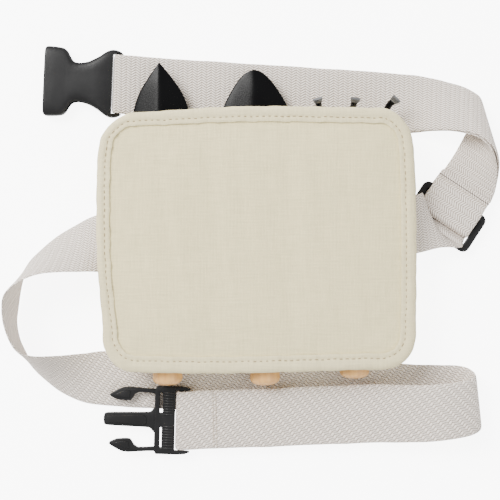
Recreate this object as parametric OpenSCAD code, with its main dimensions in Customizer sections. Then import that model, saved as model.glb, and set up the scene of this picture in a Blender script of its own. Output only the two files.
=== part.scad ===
// Child's garden tool belt: a padded canvas pouch with three hand tools, a
// webbing waist belt, a side-release buckle and a three-bar slider.
// It lies face down on a flat surface: +Z is away from the surface, +Y is
// towards the tool heads, and the origin is below the middle of the belt.

/* [Pouch] */
// Width of the padded panel over its binding
panel_w = 202; // [190:1:240]
// Height of the padded panel over its binding
panel_h = 168; // [150:1:185]
// Radius of the panel's corners
panel_r = 22; // [14:1:30]
// Thickness of the foam padding
padding_t = 2.6; // [1.5:0.1:4]
// Thickness of the canvas
canvas_t = 1.2; // [0.6:0.1:1.6]
// Width of the binding tape on each face
binding_w = 10; // [6:0.5:14]
// Thickness of the binding over the panel's faces
binding_t = 0.9; // [0.6:0.1:1.5]
// Height of the tool sleeves along the handles
sleeve_h = 101; // [60:1:110]
// Free width inside each tool sleeve
sleeve_w = 26; // [23:0.5:29]
// Width of the hem at the mouth of the sleeves
hem_w = 8; // [5:0.5:14]

/* [Webbing] */
// Width of the belt webbing
web_w = 38; // [32:1:39]
// Thickness of the belt webbing
web_t = 1.6; // [1:0.1:1.7]

/* [Tools] */
// Largest diameter of the wooden handles
handle_d = 18.8; // [15:0.2:20]
// Length of the wooden handles
handle_l = 92; // [80:1:100]
// Diameter of the steel shanks
shank_d = 5; // [4:0.5:7]
// Length of the trowel and shovel blades
blade_l = 86; // [60:1:95]
// Width of the trowel blade
trowel_w = 40; // [30:1:48]
// Width of the shovel blade
shovel_w = 48; // [36:1:54]
// Thickness of the pressed steel blades
blade_t = 1.2; // [0.8:0.1:2]
// Diameter of the cultivator's tines
tine_d = 4.2; // [3:0.2:5]
// Distance between the outer tines
tine_span = 43; // [34:1:48]

/* [Buckle and slider] */
// Thickness of the buckle's socket
socket_t = 9.6; // [9:0.2:12]
// Height of the mouth in the socket
mouth_h = 5.2; // [4.8:0.1:5.6]
// Width of the buckle's plastic beside the webbing, on each side
buckle_side = 3.8; // [3.6:0.1:6]
// Thickness of the plug's frame
plug_t = 4.4; // [4:0.2:4.8]
// Thickness of the plug's latch arms
arm_t = 3.6; // [3:0.1:4]
// Diameter of the bars that hold the webbing
bar_d = 3.2; // [2.6:0.1:3.6]
// Width of the slider's end bars
slider_end = 4.5; // [2.4:0.1:6]
// Free room beside the webbing in the slider's slots
slider_play = 1.2; // [1.2:0.2:4]
// Thickness of the slider
slider_t = 2.4; // [2:0.1:3]

/* [Hidden] */
$fn = 48;

canvas_colour = "#ddd5c0";
web_colour = "#e3ded8";
plastic_colour = "#232325";
paint_colour = "#1b1c20";
wood_colour = "#dbb27c";
ferrule_colour = "#b9b4aa";

gap = 0.1;                       // free space between layers that lie on each other
panel_mid = [2.7, 6.4];          // middle of the panel
tool_z = sleeve_w / 2 + canvas_t - 0.2; // height of the tools' axes
ply = web_t + 0.5;               // distance between the middles of two layers of webbing
rest_z = web_t / 2;              // height of a strap's middle on the surface
belt_z = tool_z + handle_d / 2 + 0.5 + web_t / 2; // height of the belt behind the panel
front_z = belt_z + web_t / 2 + gap;
padding_z = front_z + canvas_t + gap;
back_z = padding_z + padding_t + gap;
panel_top = back_z + canvas_t + gap + binding_t;
pocket_top = belt_z - web_t / 2 - 4 * gap; // top of the pocket's webs, with some play for the belt
sleeve_foot = -76;               // lower end of the sleeves
// The tools: where each handle's end is, and how far its head leans to the left
trowel_at = [-54.6, -87.4];
trowel_lean = 1.5;
shovel_at = [8.5, -87.4];
shovel_lean = 2.1;
cultivator_at = [66.2, -83];
cultivator_lean = 0.4;
sleeve_x = [-56.4, 6.2, 65.9];   // middles of the three sleeves
slide_free = 0.35;               // clearance of a moving piece
buckle_w = web_w + 2 * buckle_side;
wide = buckle_w / 2 - 22.8;      // how far the buckle is wider than its outlines are drawn
slider_l = web_w + slider_play + 2 * slider_end;
slider_slip = slider_play / 2 - 0.2; // how far the slider has slipped along its bars

// ---------------------------------------------------------------- webbing

function unit(v) = v / norm(v);
function along(az, el = 0) = [cos(el) * cos(az), cos(el) * sin(az), sin(el)];

// The two edges of a strap at one place: its middle, and which way its width points
function edges(middle, az, el = 0) =
    [middle - along(az, el) * web_w / 2, middle + along(az, el) * web_w / 2];

// Catmull-Rom curve through four neighbouring values
function curve(a, b, c, d, t) =
    0.5 * (2 * b + (c - a) * t + (2 * a - 5 * b + 4 * c - d) * t * t + (3 * b - a - 3 * c + d) * t * t * t);

function refine(list, steps) = [
    for (i = [0:len(list) - 2], s = [0:steps - 1])
        curve(list[max(i - 1, 0)], list[i], list[i + 1], list[min(i + 2, len(list) - 1)], s / steps),
    list[len(list) - 1]];

function face_normal(list, i) = let (
    a = list[max(i - 1, 0)], b = list[min(i + 1, len(list) - 1)],
    travel = (b[0] + b[1]) - (a[0] + a[1]))
    unit(cross(travel, list[i][1] - list[i][0]));

// The same strap, a distance to one side of its face
function shifted(list, distance) =
    [for (i = [0:len(list) - 1]) let (n = face_normal(list, i) * distance) [list[i][0] + n, list[i][1] + n]];

function backwards(list) = [for (i = [len(list) - 1:-1:0]) list[i]];

// A half turn round a bar that lies along the strap's width. It goes from angle a0 to a1,
// where 0 is ahead of the bar and 90 above it
function round_bar(bar, az, radius, a0, a1, steps = 4) = [
    for (s = [0:steps]) let (a = a0 + (a1 - a0) * s / steps)
        edges(bar + radius * (cos(a) * along(az + 90) + [0, 0, sin(a)]), az)];

module strap(list, steps = 2) {
    fine = refine(list, steps);
    n = len(fine);
    rings = [for (i = [0:n - 1]) let (up = face_normal(fine, i) * web_t / 2)
        [fine[i][0] - up, fine[i][1] - up, fine[i][1] + up, fine[i][0] + up]];
    polyhedron(
        points = [for (r = rings, p = r) p],
        faces = concat(
            [[0, 1, 2, 3]],
            [for (i = [0:n - 2], k = [0:3]) [i * 4 + k, (i + 1) * 4 + k, (i + 1) * 4 + (k + 1) % 4]],
            [for (i = [0:n - 2], k = [0:3]) [i * 4 + k, (i + 1) * 4 + (k + 1) % 4, i * 4 + (k + 1) % 4]],
            [[n * 4 - 1, n * 4 - 2, n * 4 - 3, n * 4 - 4]]));
}

// Left strap: from the pouch it stands on edge round a wide turn, then lies flat under the pouch,
// rolls over at its far end and comes back to the buckle's plug
plug_bar_at = [-46.7, -111.6, 5.6];
plug_az = -91.5;
wrap_r = bar_d / 2 + web_t / 2 + 0.25;

left_route = concat(
    [edges([-62, 5, belt_z - 0.2], 90), edges([-81, 5, belt_z - 0.4], 91)],
    [[[-89.5, -14, belt_z - 0.4], [-91, 23.4, belt_z - 2.7]],
     [[-98, -14, belt_z - 1.1], [-101, 22.5, belt_z - 9.7]],
     [[-109, -14, 29], [-114, 17, 6]],
     [[-123, -14, 33], [-128, 9, 2.5]],
     [[-134, -15, 36], [-139.5, -0.5, 1]],
     [[-143, -18, 37], [-146.5, -8, 1]],
     [[-151, -23, 37.5], [-149.8, -15.5, 1]],
     [[-156, -29, 38], [-152.3, -26, 1]],
     [[-157, -37, 38], [-154, -38, 1]],
     [[-156, -46, 38], [-155, -48, 1]],
     [[-153, -55, 38], [-153, -59, 1]],
     [[-149, -62, 37.5], [-149, -68, 1]],
     [[-144, -66, 34], [-145, -76, 1]],
     [[-136, -68, 27], [-138, -84, 1]],
     [[-122, -68, 15], [-126, -93.5, 1]],
     [[-109, -67.5, 6], [-112, -100, 1]],
     [[-97, -66.5, 2.2], [-97, -102.5, 1]]],
    [edges([-67, -85.3, rest_z], -90), edges([0, -88.8, rest_z], -92), edges([60, -92, rest_z], -92),
     edges([96, -93.8, rest_z], -91), edges([121, -94.8, rest_z + 0.2], -90)],
    [[[134, -76, 1.8], [136, -114, 1.5]],
     [[140.5, -77, 4], [143.5, -114.5, 3.5]],
     [[144, -79, 8], [147.5, -115, 7]],
     [[144.5, -81, 13], [148.5, -116, 12]],
     [[141, -83, 17.5], [145, -118, 16.5]],
     [[133, -85, 19.5], [137, -120.5, 19]],
     [[121, -86.5, 19], [122, -123, 18.5]],
     [[104, -87.5, 15], [105, -124.5, 14.5]]],
    [edges([80, -106.5, 10.5], -90), edges([45, -108, 8.4], -89), edges([5, -109.8, 7.8], -88.5),
     edges([-28, -110.8, 7.8], -89)],
    round_bar(plug_bar_at, plug_az, wrap_r, 80, 280, 5),
    [edges([-38, -111.2, plug_bar_at[2] - wrap_r + 0.6], -90.5), edges([-30, -110.8, 7.8 - ply], -89),
     edges([-18, -110.4, 7.8 - ply], -88.7)]);

// Right strap: over the slider's first bar and below the other two, up to a fold that turns it
// over, along the top to the buckle's socket, and back inside itself to the slider's middle bar
socket_bar_at = [-87.9, 108.8, 4.9];
socket_az = -92.5;
slider_at = [126.7, 22, 5.1];       // where the webbing crosses the slider
slider_az = -33;
travel = along(slider_az + 90);

fold = [
    [[126, 52.5, 1], [157, 31.5, 2]],
    [[132, 61, 1], [159, 38, 6]],
    [[139, 72, 1], [159.5, 46, 12]],
    [[146, 85, 1], [159.3, 52, 17]],
    [[149.5, 93, 2], [158.5, 56, 21]],
    [[150, 98, 4.2], [156.5, 60.5, 25]],
    [[147.5, 101.5, 6.4], [152.5, 66.5, 27]],
    [[139, 106.5, 6.6], [144, 73.5, 26]],
    [[128, 110, 5.6], [131, 77, 20]],
    [[117, 112.8, 4.4], [118, 77.8, 13]]];
top_run = [edges([97, 96.8, rest_z + ply + 0.3], -90), edges([51, 100.1, rest_z + ply], -91),
    edges([-1, 103.4, rest_z + ply], -92), edges([-47, 106.3, rest_z + ply], -92)];
approach = [edges([141, 42, rest_z], -35)];
outer = concat(approach, fold, top_run);

right_route = concat(
    [edges([76, 15.4, belt_z - 0.3], -84), edges([92, 17, belt_z - 0.6], -82), [[105, 35.5, belt_z - 3.7], [106, -2, belt_z - 5.7]],
     [[110.5, 36.5, 12], [122, 1.5, 14]]],
    [edges(slider_at - travel * 12 + [0, 0, 3.6], slider_az),
     edges(slider_at - travel * 9.3 + [0, 0, 3], slider_az),
     edges(slider_at - travel * 7.2 - [0, 0, 0.5], slider_az),
     edges(slider_at - travel * 4.5 - [0, 0, 3.7], slider_az),
     edges(slider_at + [0, 0, rest_z + 0.1 - slider_at[2]], slider_az),
     edges(slider_at + travel * 12 + [0, 0, rest_z + 0.1 - slider_at[2]], slider_az)],
    outer,
    [edges([-72, 107.7, 5], -92.5)],
    round_bar(socket_bar_at, socket_az, wrap_r, 85, 275, 5),
    [edges([-76, 107.9, rest_z + 0.3], -92.5)],
    [for (e = backwards(top_run)) e - [[0, 1, ply], [0, 1, ply]]],
    backwards(shifted(refine(fold, 1), -ply)),
    [edges([141, 42, rest_z + ply], -35)],
    [edges(slider_at + travel * 12 + [0, 0, 3.3], slider_az),
     edges(slider_at + travel * 8.4 + [0, 0, 1.8], slider_az),
     edges(slider_at + travel * 5 - [0, 0, 1.2], slider_az),
     edges(slider_at + travel * 1.2 - [0, 0, 2.25], slider_az),
     edges(slider_at - travel * 2.5 - [0, 0, 2.2], slider_az),
     edges(slider_at - travel * 4.2 + [0, 0, 0.1], slider_az),
     edges(slider_at - travel * 2.6 + [0, 0, 2.5], slider_az),
     edges(slider_at + [0, 0, 3.3], slider_az),
     edges(slider_at + travel * 6 + [0, 0, 4.6], slider_az),
     edges(slider_at + travel * 13 + [0, 0, 5.2], slider_az),
     edges(slider_at + travel * 24 + [0, 0, 2.2], slider_az)]);

// The same stations, with those beside the panel as much further out as it is wider than 202
spread = (panel_w - 202) / 2;
function spread_out(list, left_of) = [for (pair = list) [for (p = pair)
    p + [p[0] > 85 ? spread : p[0] < left_of ? -spread : 0, 0, 0]]];

module left_strap() {
    color(web_colour) strap(spread_out(left_route, -85));
}

module right_strap() {
    color(web_colour) strap(spread_out(right_route, -1000));
}

// ------------------------------------------------------------------ pouch

module rounded(w, h, r) {
    square([w - 2 * r, h], center = true);
    square([w, h - 2 * r], center = true);
    for (x = [-1, 1], y = [-1, 1]) translate([x * (w / 2 - r), y * (h / 2 - r)]) circle(r);
}

module panel_sheet(z, t, inset) {
    translate([panel_mid[0], panel_mid[1], z])
        linear_extrude(t) rounded(panel_w - 2 * inset, panel_h - 2 * inset, panel_r - inset);
}

module back_panel() {
    color(canvas_colour) panel_sheet(back_z, canvas_t, canvas_t + gap);
}

module panel_padding() {
    color("ivory") panel_sheet(padding_z, padding_t, canvas_t + gap);
}

module front_panel() {
    color(canvas_colour) panel_sheet(front_z, canvas_t, canvas_t + gap);
}

module panel_binding() {
    foot = front_z - gap - binding_t;
    color(canvas_colour) difference() {
        panel_sheet(foot, panel_top - foot, 0);
        panel_sheet(foot - 1, panel_top - foot + 2, binding_w);
        panel_sheet(front_z - gap / 2, back_z + canvas_t - front_z + gap, canvas_t);
        strap_mouths(foot);
    }
}

// Where the straps pass below the panel, the binding's lower lip is left out
module strap_mouths(foot) {
    for (x = [-1, 1]) translate([panel_mid[0] + x * panel_w / 2, 10, foot])
        cube([3 * binding_w, web_w + 14, 2 * canvas_t], center = true);
}

// Outline of the sleeves across the tools: three channels joined by flat webs
module sleeve_outline(t, inner = 0) {
    r = sleeve_w / 2;
    overhang = 4;
    difference() {
        union() {
            for (x = sleeve_x) translate([x, tool_z + 2]) {
                circle(r + t);
                translate([-r - t, 0]) square([2 * (r + t), pocket_top - tool_z - 2]);
            }
            translate([sleeve_x[0] - r - overhang, pocket_top - t])
                square([sleeve_x[2] - sleeve_x[0] + 2 * (r + overhang), t]);
        }
        for (x = sleeve_x) translate([x, tool_z + 2]) {
            circle(r + inner);
            translate([-r - inner, 0]) square([2 * (r + inner), pocket_top]);
        }
    }
}

module along_sleeve(y, length) {
    translate([0, y + length, 0]) rotate([90, 0, 0]) linear_extrude(length) children();
}

module tool_pocket() {
    color(canvas_colour) along_sleeve(sleeve_foot, sleeve_h) sleeve_outline(canvas_t);
}

module pocket_hem() {
    reach = 0.9;
    color("#d3cbb4") intersection() {
        along_sleeve(sleeve_foot + sleeve_h - hem_w, hem_w + reach)
            sleeve_outline(canvas_t + reach, canvas_t + gap / 4);
        translate([-200, -200, 0.6]) cube([400, 400, pocket_top - canvas_t - 0.6]);
    }
}

// ------------------------------------------------------------------ tools

// Puts a tool, drawn along Z from its handle's end, where it lies in the pouch. Its local -Y is up
module lying(at, lean) {
    translate([at[0], at[1], tool_z]) rotate([0, 0, lean]) rotate([-90, 0, 0]) children();
}

ferrule_l = 16;
ferrule_z = handle_l - 10;
ferrule_r = 6.2;
tang_l = 40;
trowel_z = handle_l + 30.6;      // where each head starts, from the handle's end
shovel_z = handle_l + 26;
tines_z = handle_l + 32;
blade_rise = 7;
tang_z = handle_l - tang_l + 0.1;

module handle() {
    r = handle_d / 2;
    color(wood_colour) difference() {
        rotate_extrude() difference() {
            union() {
                intersection() {
                    translate([0, 7]) scale([r / 7, 1]) circle(7);
                    square([r, 7]);
                }
                translate([0, 7]) square([r, 9]);
                polygon([[0, 16], [r, 16], [r - 1.2, 30], [r - 1.6, 44], [r - 1, 60], [r - 1.4, 72],
                    [ferrule_r + 0.6, ferrule_z], [0, ferrule_z]]);
                translate([0, ferrule_z]) square([ferrule_r - 0.8, handle_l - ferrule_z]);
            }
            translate([-50, -1]) square([50, 200]);
        }
        translate([0, 0, handle_l - tang_l]) cylinder(r = shank_d / 2 + 0.02, h = tang_l + 1);
    }
}

module ferrule() {
    color(ferrule_colour) translate([0, 0, ferrule_z]) difference() {
        cylinder(r = ferrule_r, h = ferrule_l);
        translate([0, 0, -1]) cylinder(r = ferrule_r - 0.76, h = handle_l - ferrule_z + 1.04);
        translate([0, 0, -1]) cylinder(r = shank_d / 2 + 0.02, h = ferrule_l + 2);
    }
}

module shank(length) { // up to that distance from the handle's end
    color(paint_colour) translate([0, 0, tang_z]) cylinder(r = shank_d / 2, h = length - tang_z);
}

// Half widths of the two blades, counted back from the tip
trowel_half = [[0, 0.01], [-5, 4.2], [-10.3, 8.2], [-19.3, 14], [-30.6, 18], [-44, trowel_w / 2],
    [-62, trowel_w / 2 - 0.4], [-76, trowel_w / 2 - 3], [-83, 9], [-blade_l, 3]];
shovel_half = [[0, 0.01], [-0.8, 3.4], [-2.6, 6.6], [-7.2, 11.2], [-15.7, 16.8], [-23.4, 20.8],
    [-34, shovel_w / 2], [-60, shovel_w / 2], [-74, shovel_w / 2 - 2.4], [-81, 14], [-blade_l, 3]];

// Pressed blade: a steel sheet folded along its middle and cut to its outline, on a short neck
module blade(half, width, rise) {
    edge = width / 2 + 3;
    intersection() {
        linear_extrude(blade_l + 2) polygon([[-edge, rise], [0, 0], [edge, rise], [edge, rise + blade_t],
            [0, blade_t], [-edge, rise + blade_t]]);
        translate([0, 20, blade_l]) rotate([90, 90, 0]) linear_extrude(40)
            mirrored(refine([for (p = half) [-p[0], p[1]]], 3));
    }
    difference() {
        translate([0, shank_d / 2, -8]) cylinder(r = shank_d / 2 + 1, h = 13);
        translate([0, shank_d / 2, -9]) cylinder(r = shank_d / 2 + 0.02, h = 10);
        translate([-10, -10, 0]) cube([20, 10 + blade_t / 2, 10]);
    }
}

module trowel_blade() {
    color(paint_colour) lying(trowel_at, trowel_lean) translate([0, -shank_d / 2, trowel_z])
        blade(trowel_half, trowel_w, blade_rise);
}

module shovel_blade() {
    color(paint_colour) lying(shovel_at, shovel_lean) translate([0, -shank_d / 2, shovel_z])
        blade(shovel_half, shovel_w, blade_rise);
}

// A round rod along a list of points, with a given number of sides
module rod(points, d, sides = 12) {
    n = len(points);
    rings = [for (i = [0:n - 1]) let (
        ahead = unit(points[min(i + 1, n - 1)] - points[max(i - 1, 0)]),
        across = unit(cross(ahead, [0.1, 1, 0.2])),
        third = cross(ahead, across))
        [for (k = [0:sides - 1]) points[i] + d / 2 * (cos(k * 360 / sides) * across + sin(k * 360 / sides) * third)]];
    polyhedron(
        points = [for (r = rings, p = r) p],
        faces = concat(
            [[for (k = [0:sides - 1]) k]],
            [for (i = [0:n - 2], k = [0:sides - 1]) let (m = (k + 1) % sides)
                [i * sides + k, (i + 1) * sides + k, (i + 1) * sides + m, i * sides + m]],
            [[for (k = [sides - 1:-1:0]) (n - 1) * sides + k]]));
}

// One tine: out from the hub, forwards, then bent up towards local -Y, with a flattened tip
module tine(x, fan) {
    bend_r = 9;
    reach = 46;
    rod(refine(concat([[0.1 * x, 0, 0], [0.5 * x, 0, 7], [0.9 * x, 0, 14], [x, 0, 22], [x, 0, reach - 8], [x, 0, reach]],
        [for (a = [20:20:80]) [x + fan * (1 - cos(a)), -bend_r * (1 - cos(a)), reach + bend_r * sin(a)]]), 2), tine_d);
    translate([x + fan * 0.9, -bend_r - 0.6, reach + bend_r]) rotate([90, 0, 0])
        cube([6.6, 1.6, 4.6], center = true);
}

module cultivator_tines() {
    color(paint_colour) lying(cultivator_at, cultivator_lean) translate([0, 0, tines_z]) {
        tine(-tine_span / 2, -2);
        tine(0.01, 1);
        tine(tine_span / 2, 5);
        difference() {
            translate([0, 0, -10]) cylinder(r = shank_d / 2 + 1, h = 12);
            translate([0, 0, -11]) cylinder(r = shank_d / 2 + 0.02, h = 9);
        }
    }
}

module trowel_shank() { lying(trowel_at, trowel_lean) shank(trowel_z); }
module shovel_shank() { lying(shovel_at, shovel_lean) shank(shovel_z); }
module cultivator_shank() { lying(cultivator_at, cultivator_lean) shank(tines_z - 3); }
module trowel_ferrule() { lying(trowel_at, trowel_lean) ferrule(); }
module shovel_ferrule() { lying(shovel_at, shovel_lean) ferrule(); }
module cultivator_ferrule() { lying(cultivator_at, cultivator_lean) ferrule(); }
module trowel_handle() { lying(trowel_at, trowel_lean) handle(); }
module shovel_handle() { lying(shovel_at, shovel_lean) handle(); }
module cultivator_handle() { lying(cultivator_at, cultivator_lean) handle(); }

// ----------------------------------------------------------------- buckle
// The socket and the plug are drawn with their strap bar at the origin and their front towards -X

// Half of a symmetric outline, made whole
module mirrored(half) {
    polygon(concat(half, [for (i = [len(half) - 1:-1:0]) [half[i][0], -half[i][1]]]));
}

// The same half outline, as much wider as the buckle is
function widened(half) = [for (p = half) [p[0], p[1] < 10 ? p[1] : p[1] + wide]];

// Half width of the socket from its mouth, past its waist, to its ears
socket_half = [[-48.3, 0.01], [-48, 12], [-46.9, 21.6], [-45.4, 22.8], [-37.5, 22.2], [-34.2, 20.6], [-32, 17],
    [-30, 14.2], [-27.5, 13.1], [-24.5, 12.9], [-19, 14.2], [-13, 17.3], [-8, 20.8], [-4, 22.2], [0, 21.6],
    [2.6, 19.9]];
socket_low = -4.7;               // underside of the socket below its bar
mouth_low = -2.3;

module buckle_socket() {
    color(plastic_colour) translate(socket_bar_at) rotate([0, 0, socket_az + 90]) difference() {
        translate([0, 0, socket_low]) linear_extrude(socket_t) mirrored(refine(widened(socket_half), 3));
        // the mouth that the plug goes into, open to the sides at the waist
        translate([-60, 3 - buckle_w / 2, mouth_low]) cube([42, buckle_w - 6, mouth_h]);
        // the slot that the strap goes through
        translate([-4.1, -web_w / 2 - 0.7, -10]) cube([20, web_w + 1.4, 30]);
        rotate([90, 0, 0]) cylinder(r = bar_d / 2 + 0.02, h = web_w + 4, center = true);
    }
}

module socket_bar() {
    color(plastic_colour) translate(socket_bar_at) rotate([90, 0, socket_az + 90])
        cylinder(r = bar_d / 2, h = web_w + 3.8, center = true);
}

frame_front = -17.2;             // front of the plug's frame, ahead of its bar
tongue_l = 33.4;

module buckle_plug() {
    color(plastic_colour) translate(plug_bar_at) rotate([0, 0, plug_az + 90]) {
        difference() {
            translate([0, 0, -plug_t / 2]) linear_extrude(plug_t) mirrored(widened([[frame_front, 20.6],
                [frame_front + 1, 22.2], [-2, 22.3], [3, 21.9], [6, 20.6], [5.8, 19.9], [2, 19.9]]));
            translate([-3.9, -web_w / 2 - 0.7, -5]) cube([20, web_w + 1.4, 10]);
            // two windows ahead of the ribs, with a bridge between them
            translate([frame_front + 3.1, 4.6, -5]) cube([2.2, web_w / 2 - 5.6, 10]);
            translate([frame_front + 3.5, 1 - web_w / 2, -5]) cube([1.4, web_w / 2 - 5.6, 10]);
            rotate([90, 0, 0]) cylinder(r = bar_d / 2 + 0.02, h = web_w + 3.4, center = true);
        }
        translate([frame_front, 0, -plug_t / 2]) linear_extrude(plug_t) mirrored(
            [[-tongue_l, 2.6], [1.4 - tongue_l, 4.1], [-6, 4.8], [-2.4, 6.2], [0, 9.5], [1, 9.5]]);
        // ribs that grip the webbing
        for (y = [4.2:1.6:web_w / 2 - 0.6], half = [-1, 1])
            translate([frame_front + 5.7, half * y - 0.45, plug_t / 2 - 0.01]) cube([6.6, 0.9, 0.5]);
    }
}

module plug_bar() {
    color(plastic_colour) translate(plug_bar_at) rotate([90, 0, plug_az + 90])
        cylinder(r = bar_d / 2, h = web_w + 3.2, center = true);
}

// A thin arm along the outer side with a wide head, whose barb points inwards
module latch_arm(side) {
    color(plastic_colour) translate(plug_bar_at) rotate([0, 0, plug_az + 90]) translate([0, 0, -arm_t / 2])
        linear_extrude(arm_t) scale([1, side]) polygon(widened([[frame_front - slide_free, 18],
            [frame_front - slide_free, 20], [-28, 20.6], [-34, 21.2], [-40.7, 20], [-46.8, 16.4],
            [-41.8, 12.7], [-32.7, 12.6], [-27.8, 18]]));
}

module latch_arm_upper() { latch_arm(1); }
module latch_arm_lower() { latch_arm(-1); }

module strap_slider() {
    color(plastic_colour) translate(slider_at + slider_slip * along(slider_az) + [spread, 0, 0]) rotate([0, 0, slider_az])
        difference() {
            translate([0, 0, -slider_t / 2]) linear_extrude(slider_t) rounded(slider_l, 28, 4);
            for (y = [-1, 1]) translate([-(web_w + slider_play) / 2, y * 6 - 3.5, -5])
                cube([web_w + slider_play, 7, 10]);
        }
}

// ------------------------------------------------------------------ nodes

back_panel();
panel_padding();
front_panel();
panel_binding();
tool_pocket();
pocket_hem();
left_strap();
right_strap();
buckle_socket();
socket_bar();
buckle_plug();
plug_bar();
latch_arm_upper();
latch_arm_lower();
strap_slider();
trowel_blade();
trowel_shank();
trowel_ferrule();
trowel_handle();
shovel_blade();
shovel_shank();
shovel_ferrule();
shovel_handle();
cultivator_tines();
cultivator_shank();
cultivator_ferrule();
cultivator_handle();
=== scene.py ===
"""Child's garden tool belt, lying face down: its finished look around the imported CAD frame.

Sizes in the classes are in millimetres, and MM turns them into the frame's metres. +X runs
along the belt's top run, +Y towards the tools' heads and +Z away from the floor.
"""

import sys
import logging
import math
from dataclasses import dataclass, field
from enum import Enum
from functools import cache
from typing import Any, Callable

import bmesh
import bpy
import numpy as np
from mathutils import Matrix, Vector


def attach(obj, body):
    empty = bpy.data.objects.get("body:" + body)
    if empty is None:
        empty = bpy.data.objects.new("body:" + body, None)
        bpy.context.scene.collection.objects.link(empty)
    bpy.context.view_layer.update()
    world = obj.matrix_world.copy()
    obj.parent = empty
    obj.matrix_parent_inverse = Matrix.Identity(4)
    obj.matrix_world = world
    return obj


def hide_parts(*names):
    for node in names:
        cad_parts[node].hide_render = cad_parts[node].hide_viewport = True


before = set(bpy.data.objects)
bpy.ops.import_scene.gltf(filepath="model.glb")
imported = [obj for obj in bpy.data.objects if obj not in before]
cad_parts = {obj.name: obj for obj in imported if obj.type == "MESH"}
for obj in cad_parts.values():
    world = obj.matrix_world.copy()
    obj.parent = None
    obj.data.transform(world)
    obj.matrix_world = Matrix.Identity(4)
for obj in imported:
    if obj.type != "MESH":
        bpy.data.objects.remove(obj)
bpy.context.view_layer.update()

MM = 0.001
UV_NAME = "cloth"
WEAR_NAME = "wear"
SMOOTH_LIMIT = math.radians(38)
LOG = logging.getLogger("garden_belt")

Colour = tuple[float, float, float]
Face = tuple[int, ...]
Socket = bpy.types.NodeSocket


class Lie(Enum):
    """How a sheet of cloth is held."""

    LAID = "laid"
    FOLDED = "folded"
    STRETCHED = "stretched"


class Head(Enum):
    """Which head a hand tool has."""

    POINTED = "trowel"
    ROUNDED = "shovel"
    TINED = "cultivator"


# ------------------------------------------------------------------ curves and stations


def unit(v: np.ndarray) -> np.ndarray:
    """Returns v at length one."""
    return v / max(float(np.linalg.norm(v)), 1e-12)


def heading(azimuth: float) -> np.ndarray:
    """Returns the flat unit vector at that azimuth in degrees."""
    a = math.radians(azimuth)
    return np.array([math.cos(a), math.sin(a), 0.0])


def smooth_path(points: np.ndarray, steps: int) -> np.ndarray:
    """Runs a Catmull-Rom curve through points of any shape.

    Args:
        points: The points, one for each row.
        steps: How many steps there are between two of them.

    Returns:
        The points of the curve, both ends included.
    """
    last = len(points) - 1
    out = []
    for i in range(last):
        a, b = points[max(i - 1, 0)], points[i]
        c, d = points[i + 1], points[min(i + 2, last)]
        for k in range(steps):
            t = k / steps
            out.append(
                0.5 * (2 * b + (c - a) * t + (2 * a - 5 * b + 4 * c - d) * t * t
                       + (3 * b - a - 3 * c + d) * t**3)
            )
    out.append(points[last])
    return np.array(out)


def path_lengths(points: np.ndarray) -> np.ndarray:
    """Returns the distance along a path at each of its points."""
    return np.concatenate([[0.0], np.cumsum(np.linalg.norm(np.diff(points, axis=0), axis=1))])


def ripple(x: np.ndarray | float, period: float, seed: float) -> np.ndarray | float:
    """Returns a soft uneven wave between about -1 and 1, the same for the same seed."""
    k = 2 * math.pi / period
    return (
        0.5 * np.sin(k * x + seed)
        + 0.3 * np.sin(1.73 * k * x + 2.1 * seed + 1.3)
        + 0.2 * np.sin(2.71 * k * x + 3.7 * seed + 0.4)
    )


def bump(x: np.ndarray | float, middle: float, reach: float) -> np.ndarray | float:
    """Returns a soft hill of height one around middle."""
    return np.exp(-(((x - middle) / reach) ** 2))


def eased(t: np.ndarray | float) -> np.ndarray | float:
    """Returns a share from 0 to 1 with a soft start and end."""
    return t * t * (3 - 2 * t)


def squared_off(x: np.ndarray, power: float) -> np.ndarray:
    """Returns x with its size raised to power and its sign kept."""
    return np.sign(x) * np.abs(x) ** power


def outward(line: np.ndarray) -> np.ndarray:
    """Returns the flat unit vectors that stand square to a flat line."""
    way = np.gradient(line, axis=0)
    way /= np.linalg.norm(way, axis=1)[:, None]
    return np.column_stack([-way[:, 1], way[:, 0]])


# ------------------------------------------------------------------ mesh making


def new_object(name: str, mesh: bpy.types.Mesh) -> bpy.types.Object:
    """Links a mesh into the scene as an object at the origin."""
    obj = bpy.data.objects.new(name, mesh)
    bpy.context.scene.collection.objects.link(obj)
    return obj


def smooth_shading(mesh: bpy.types.Mesh) -> None:
    """Shades a mesh smoothly, with edges that are sharper than the limit kept sharp."""
    mesh.shade_smooth()
    mesh.set_sharp_from_angle(angle=SMOOTH_LIMIT)


def close_up(mesh: bpy.types.Mesh, merge: float = 1e-6) -> None:
    """Merges doubled points and turns every face of a closed mesh outwards."""
    work = bmesh.new()
    work.from_mesh(mesh)
    bmesh.ops.remove_doubles(work, verts=work.verts, dist=merge)
    bmesh.ops.recalc_face_normals(work, faces=work.faces)
    work.to_mesh(mesh)
    work.free()


def solid(name: str, points: np.ndarray, faces: list[Face], uv: np.ndarray | None = None) -> bpy.types.Object:
    """Makes a closed object from points in millimetres.

    Args:
        name: The object's name.
        points: Its points, one for each row.
        faces: The indices of each face.
        uv: The cloth's own coordinates in metres, one for each point, where it has them.

    Returns:
        The object, smooth and with its faces outwards.
    """
    mesh = bpy.data.meshes.new(name)
    mesh.from_pydata((np.asarray(points) * MM).tolist(), [], faces)
    if uv is not None:
        layer = mesh.uv_layers.new(name=UV_NAME)
        corner = np.empty(len(mesh.loops), dtype=np.int32)
        mesh.loops.foreach_get("vertex_index", corner)
        layer.data.foreach_set("uv", np.asarray(uv)[corner].astype(np.float32).ravel())
    close_up(mesh)
    smooth_shading(mesh)
    return new_object(name, mesh)


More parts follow.
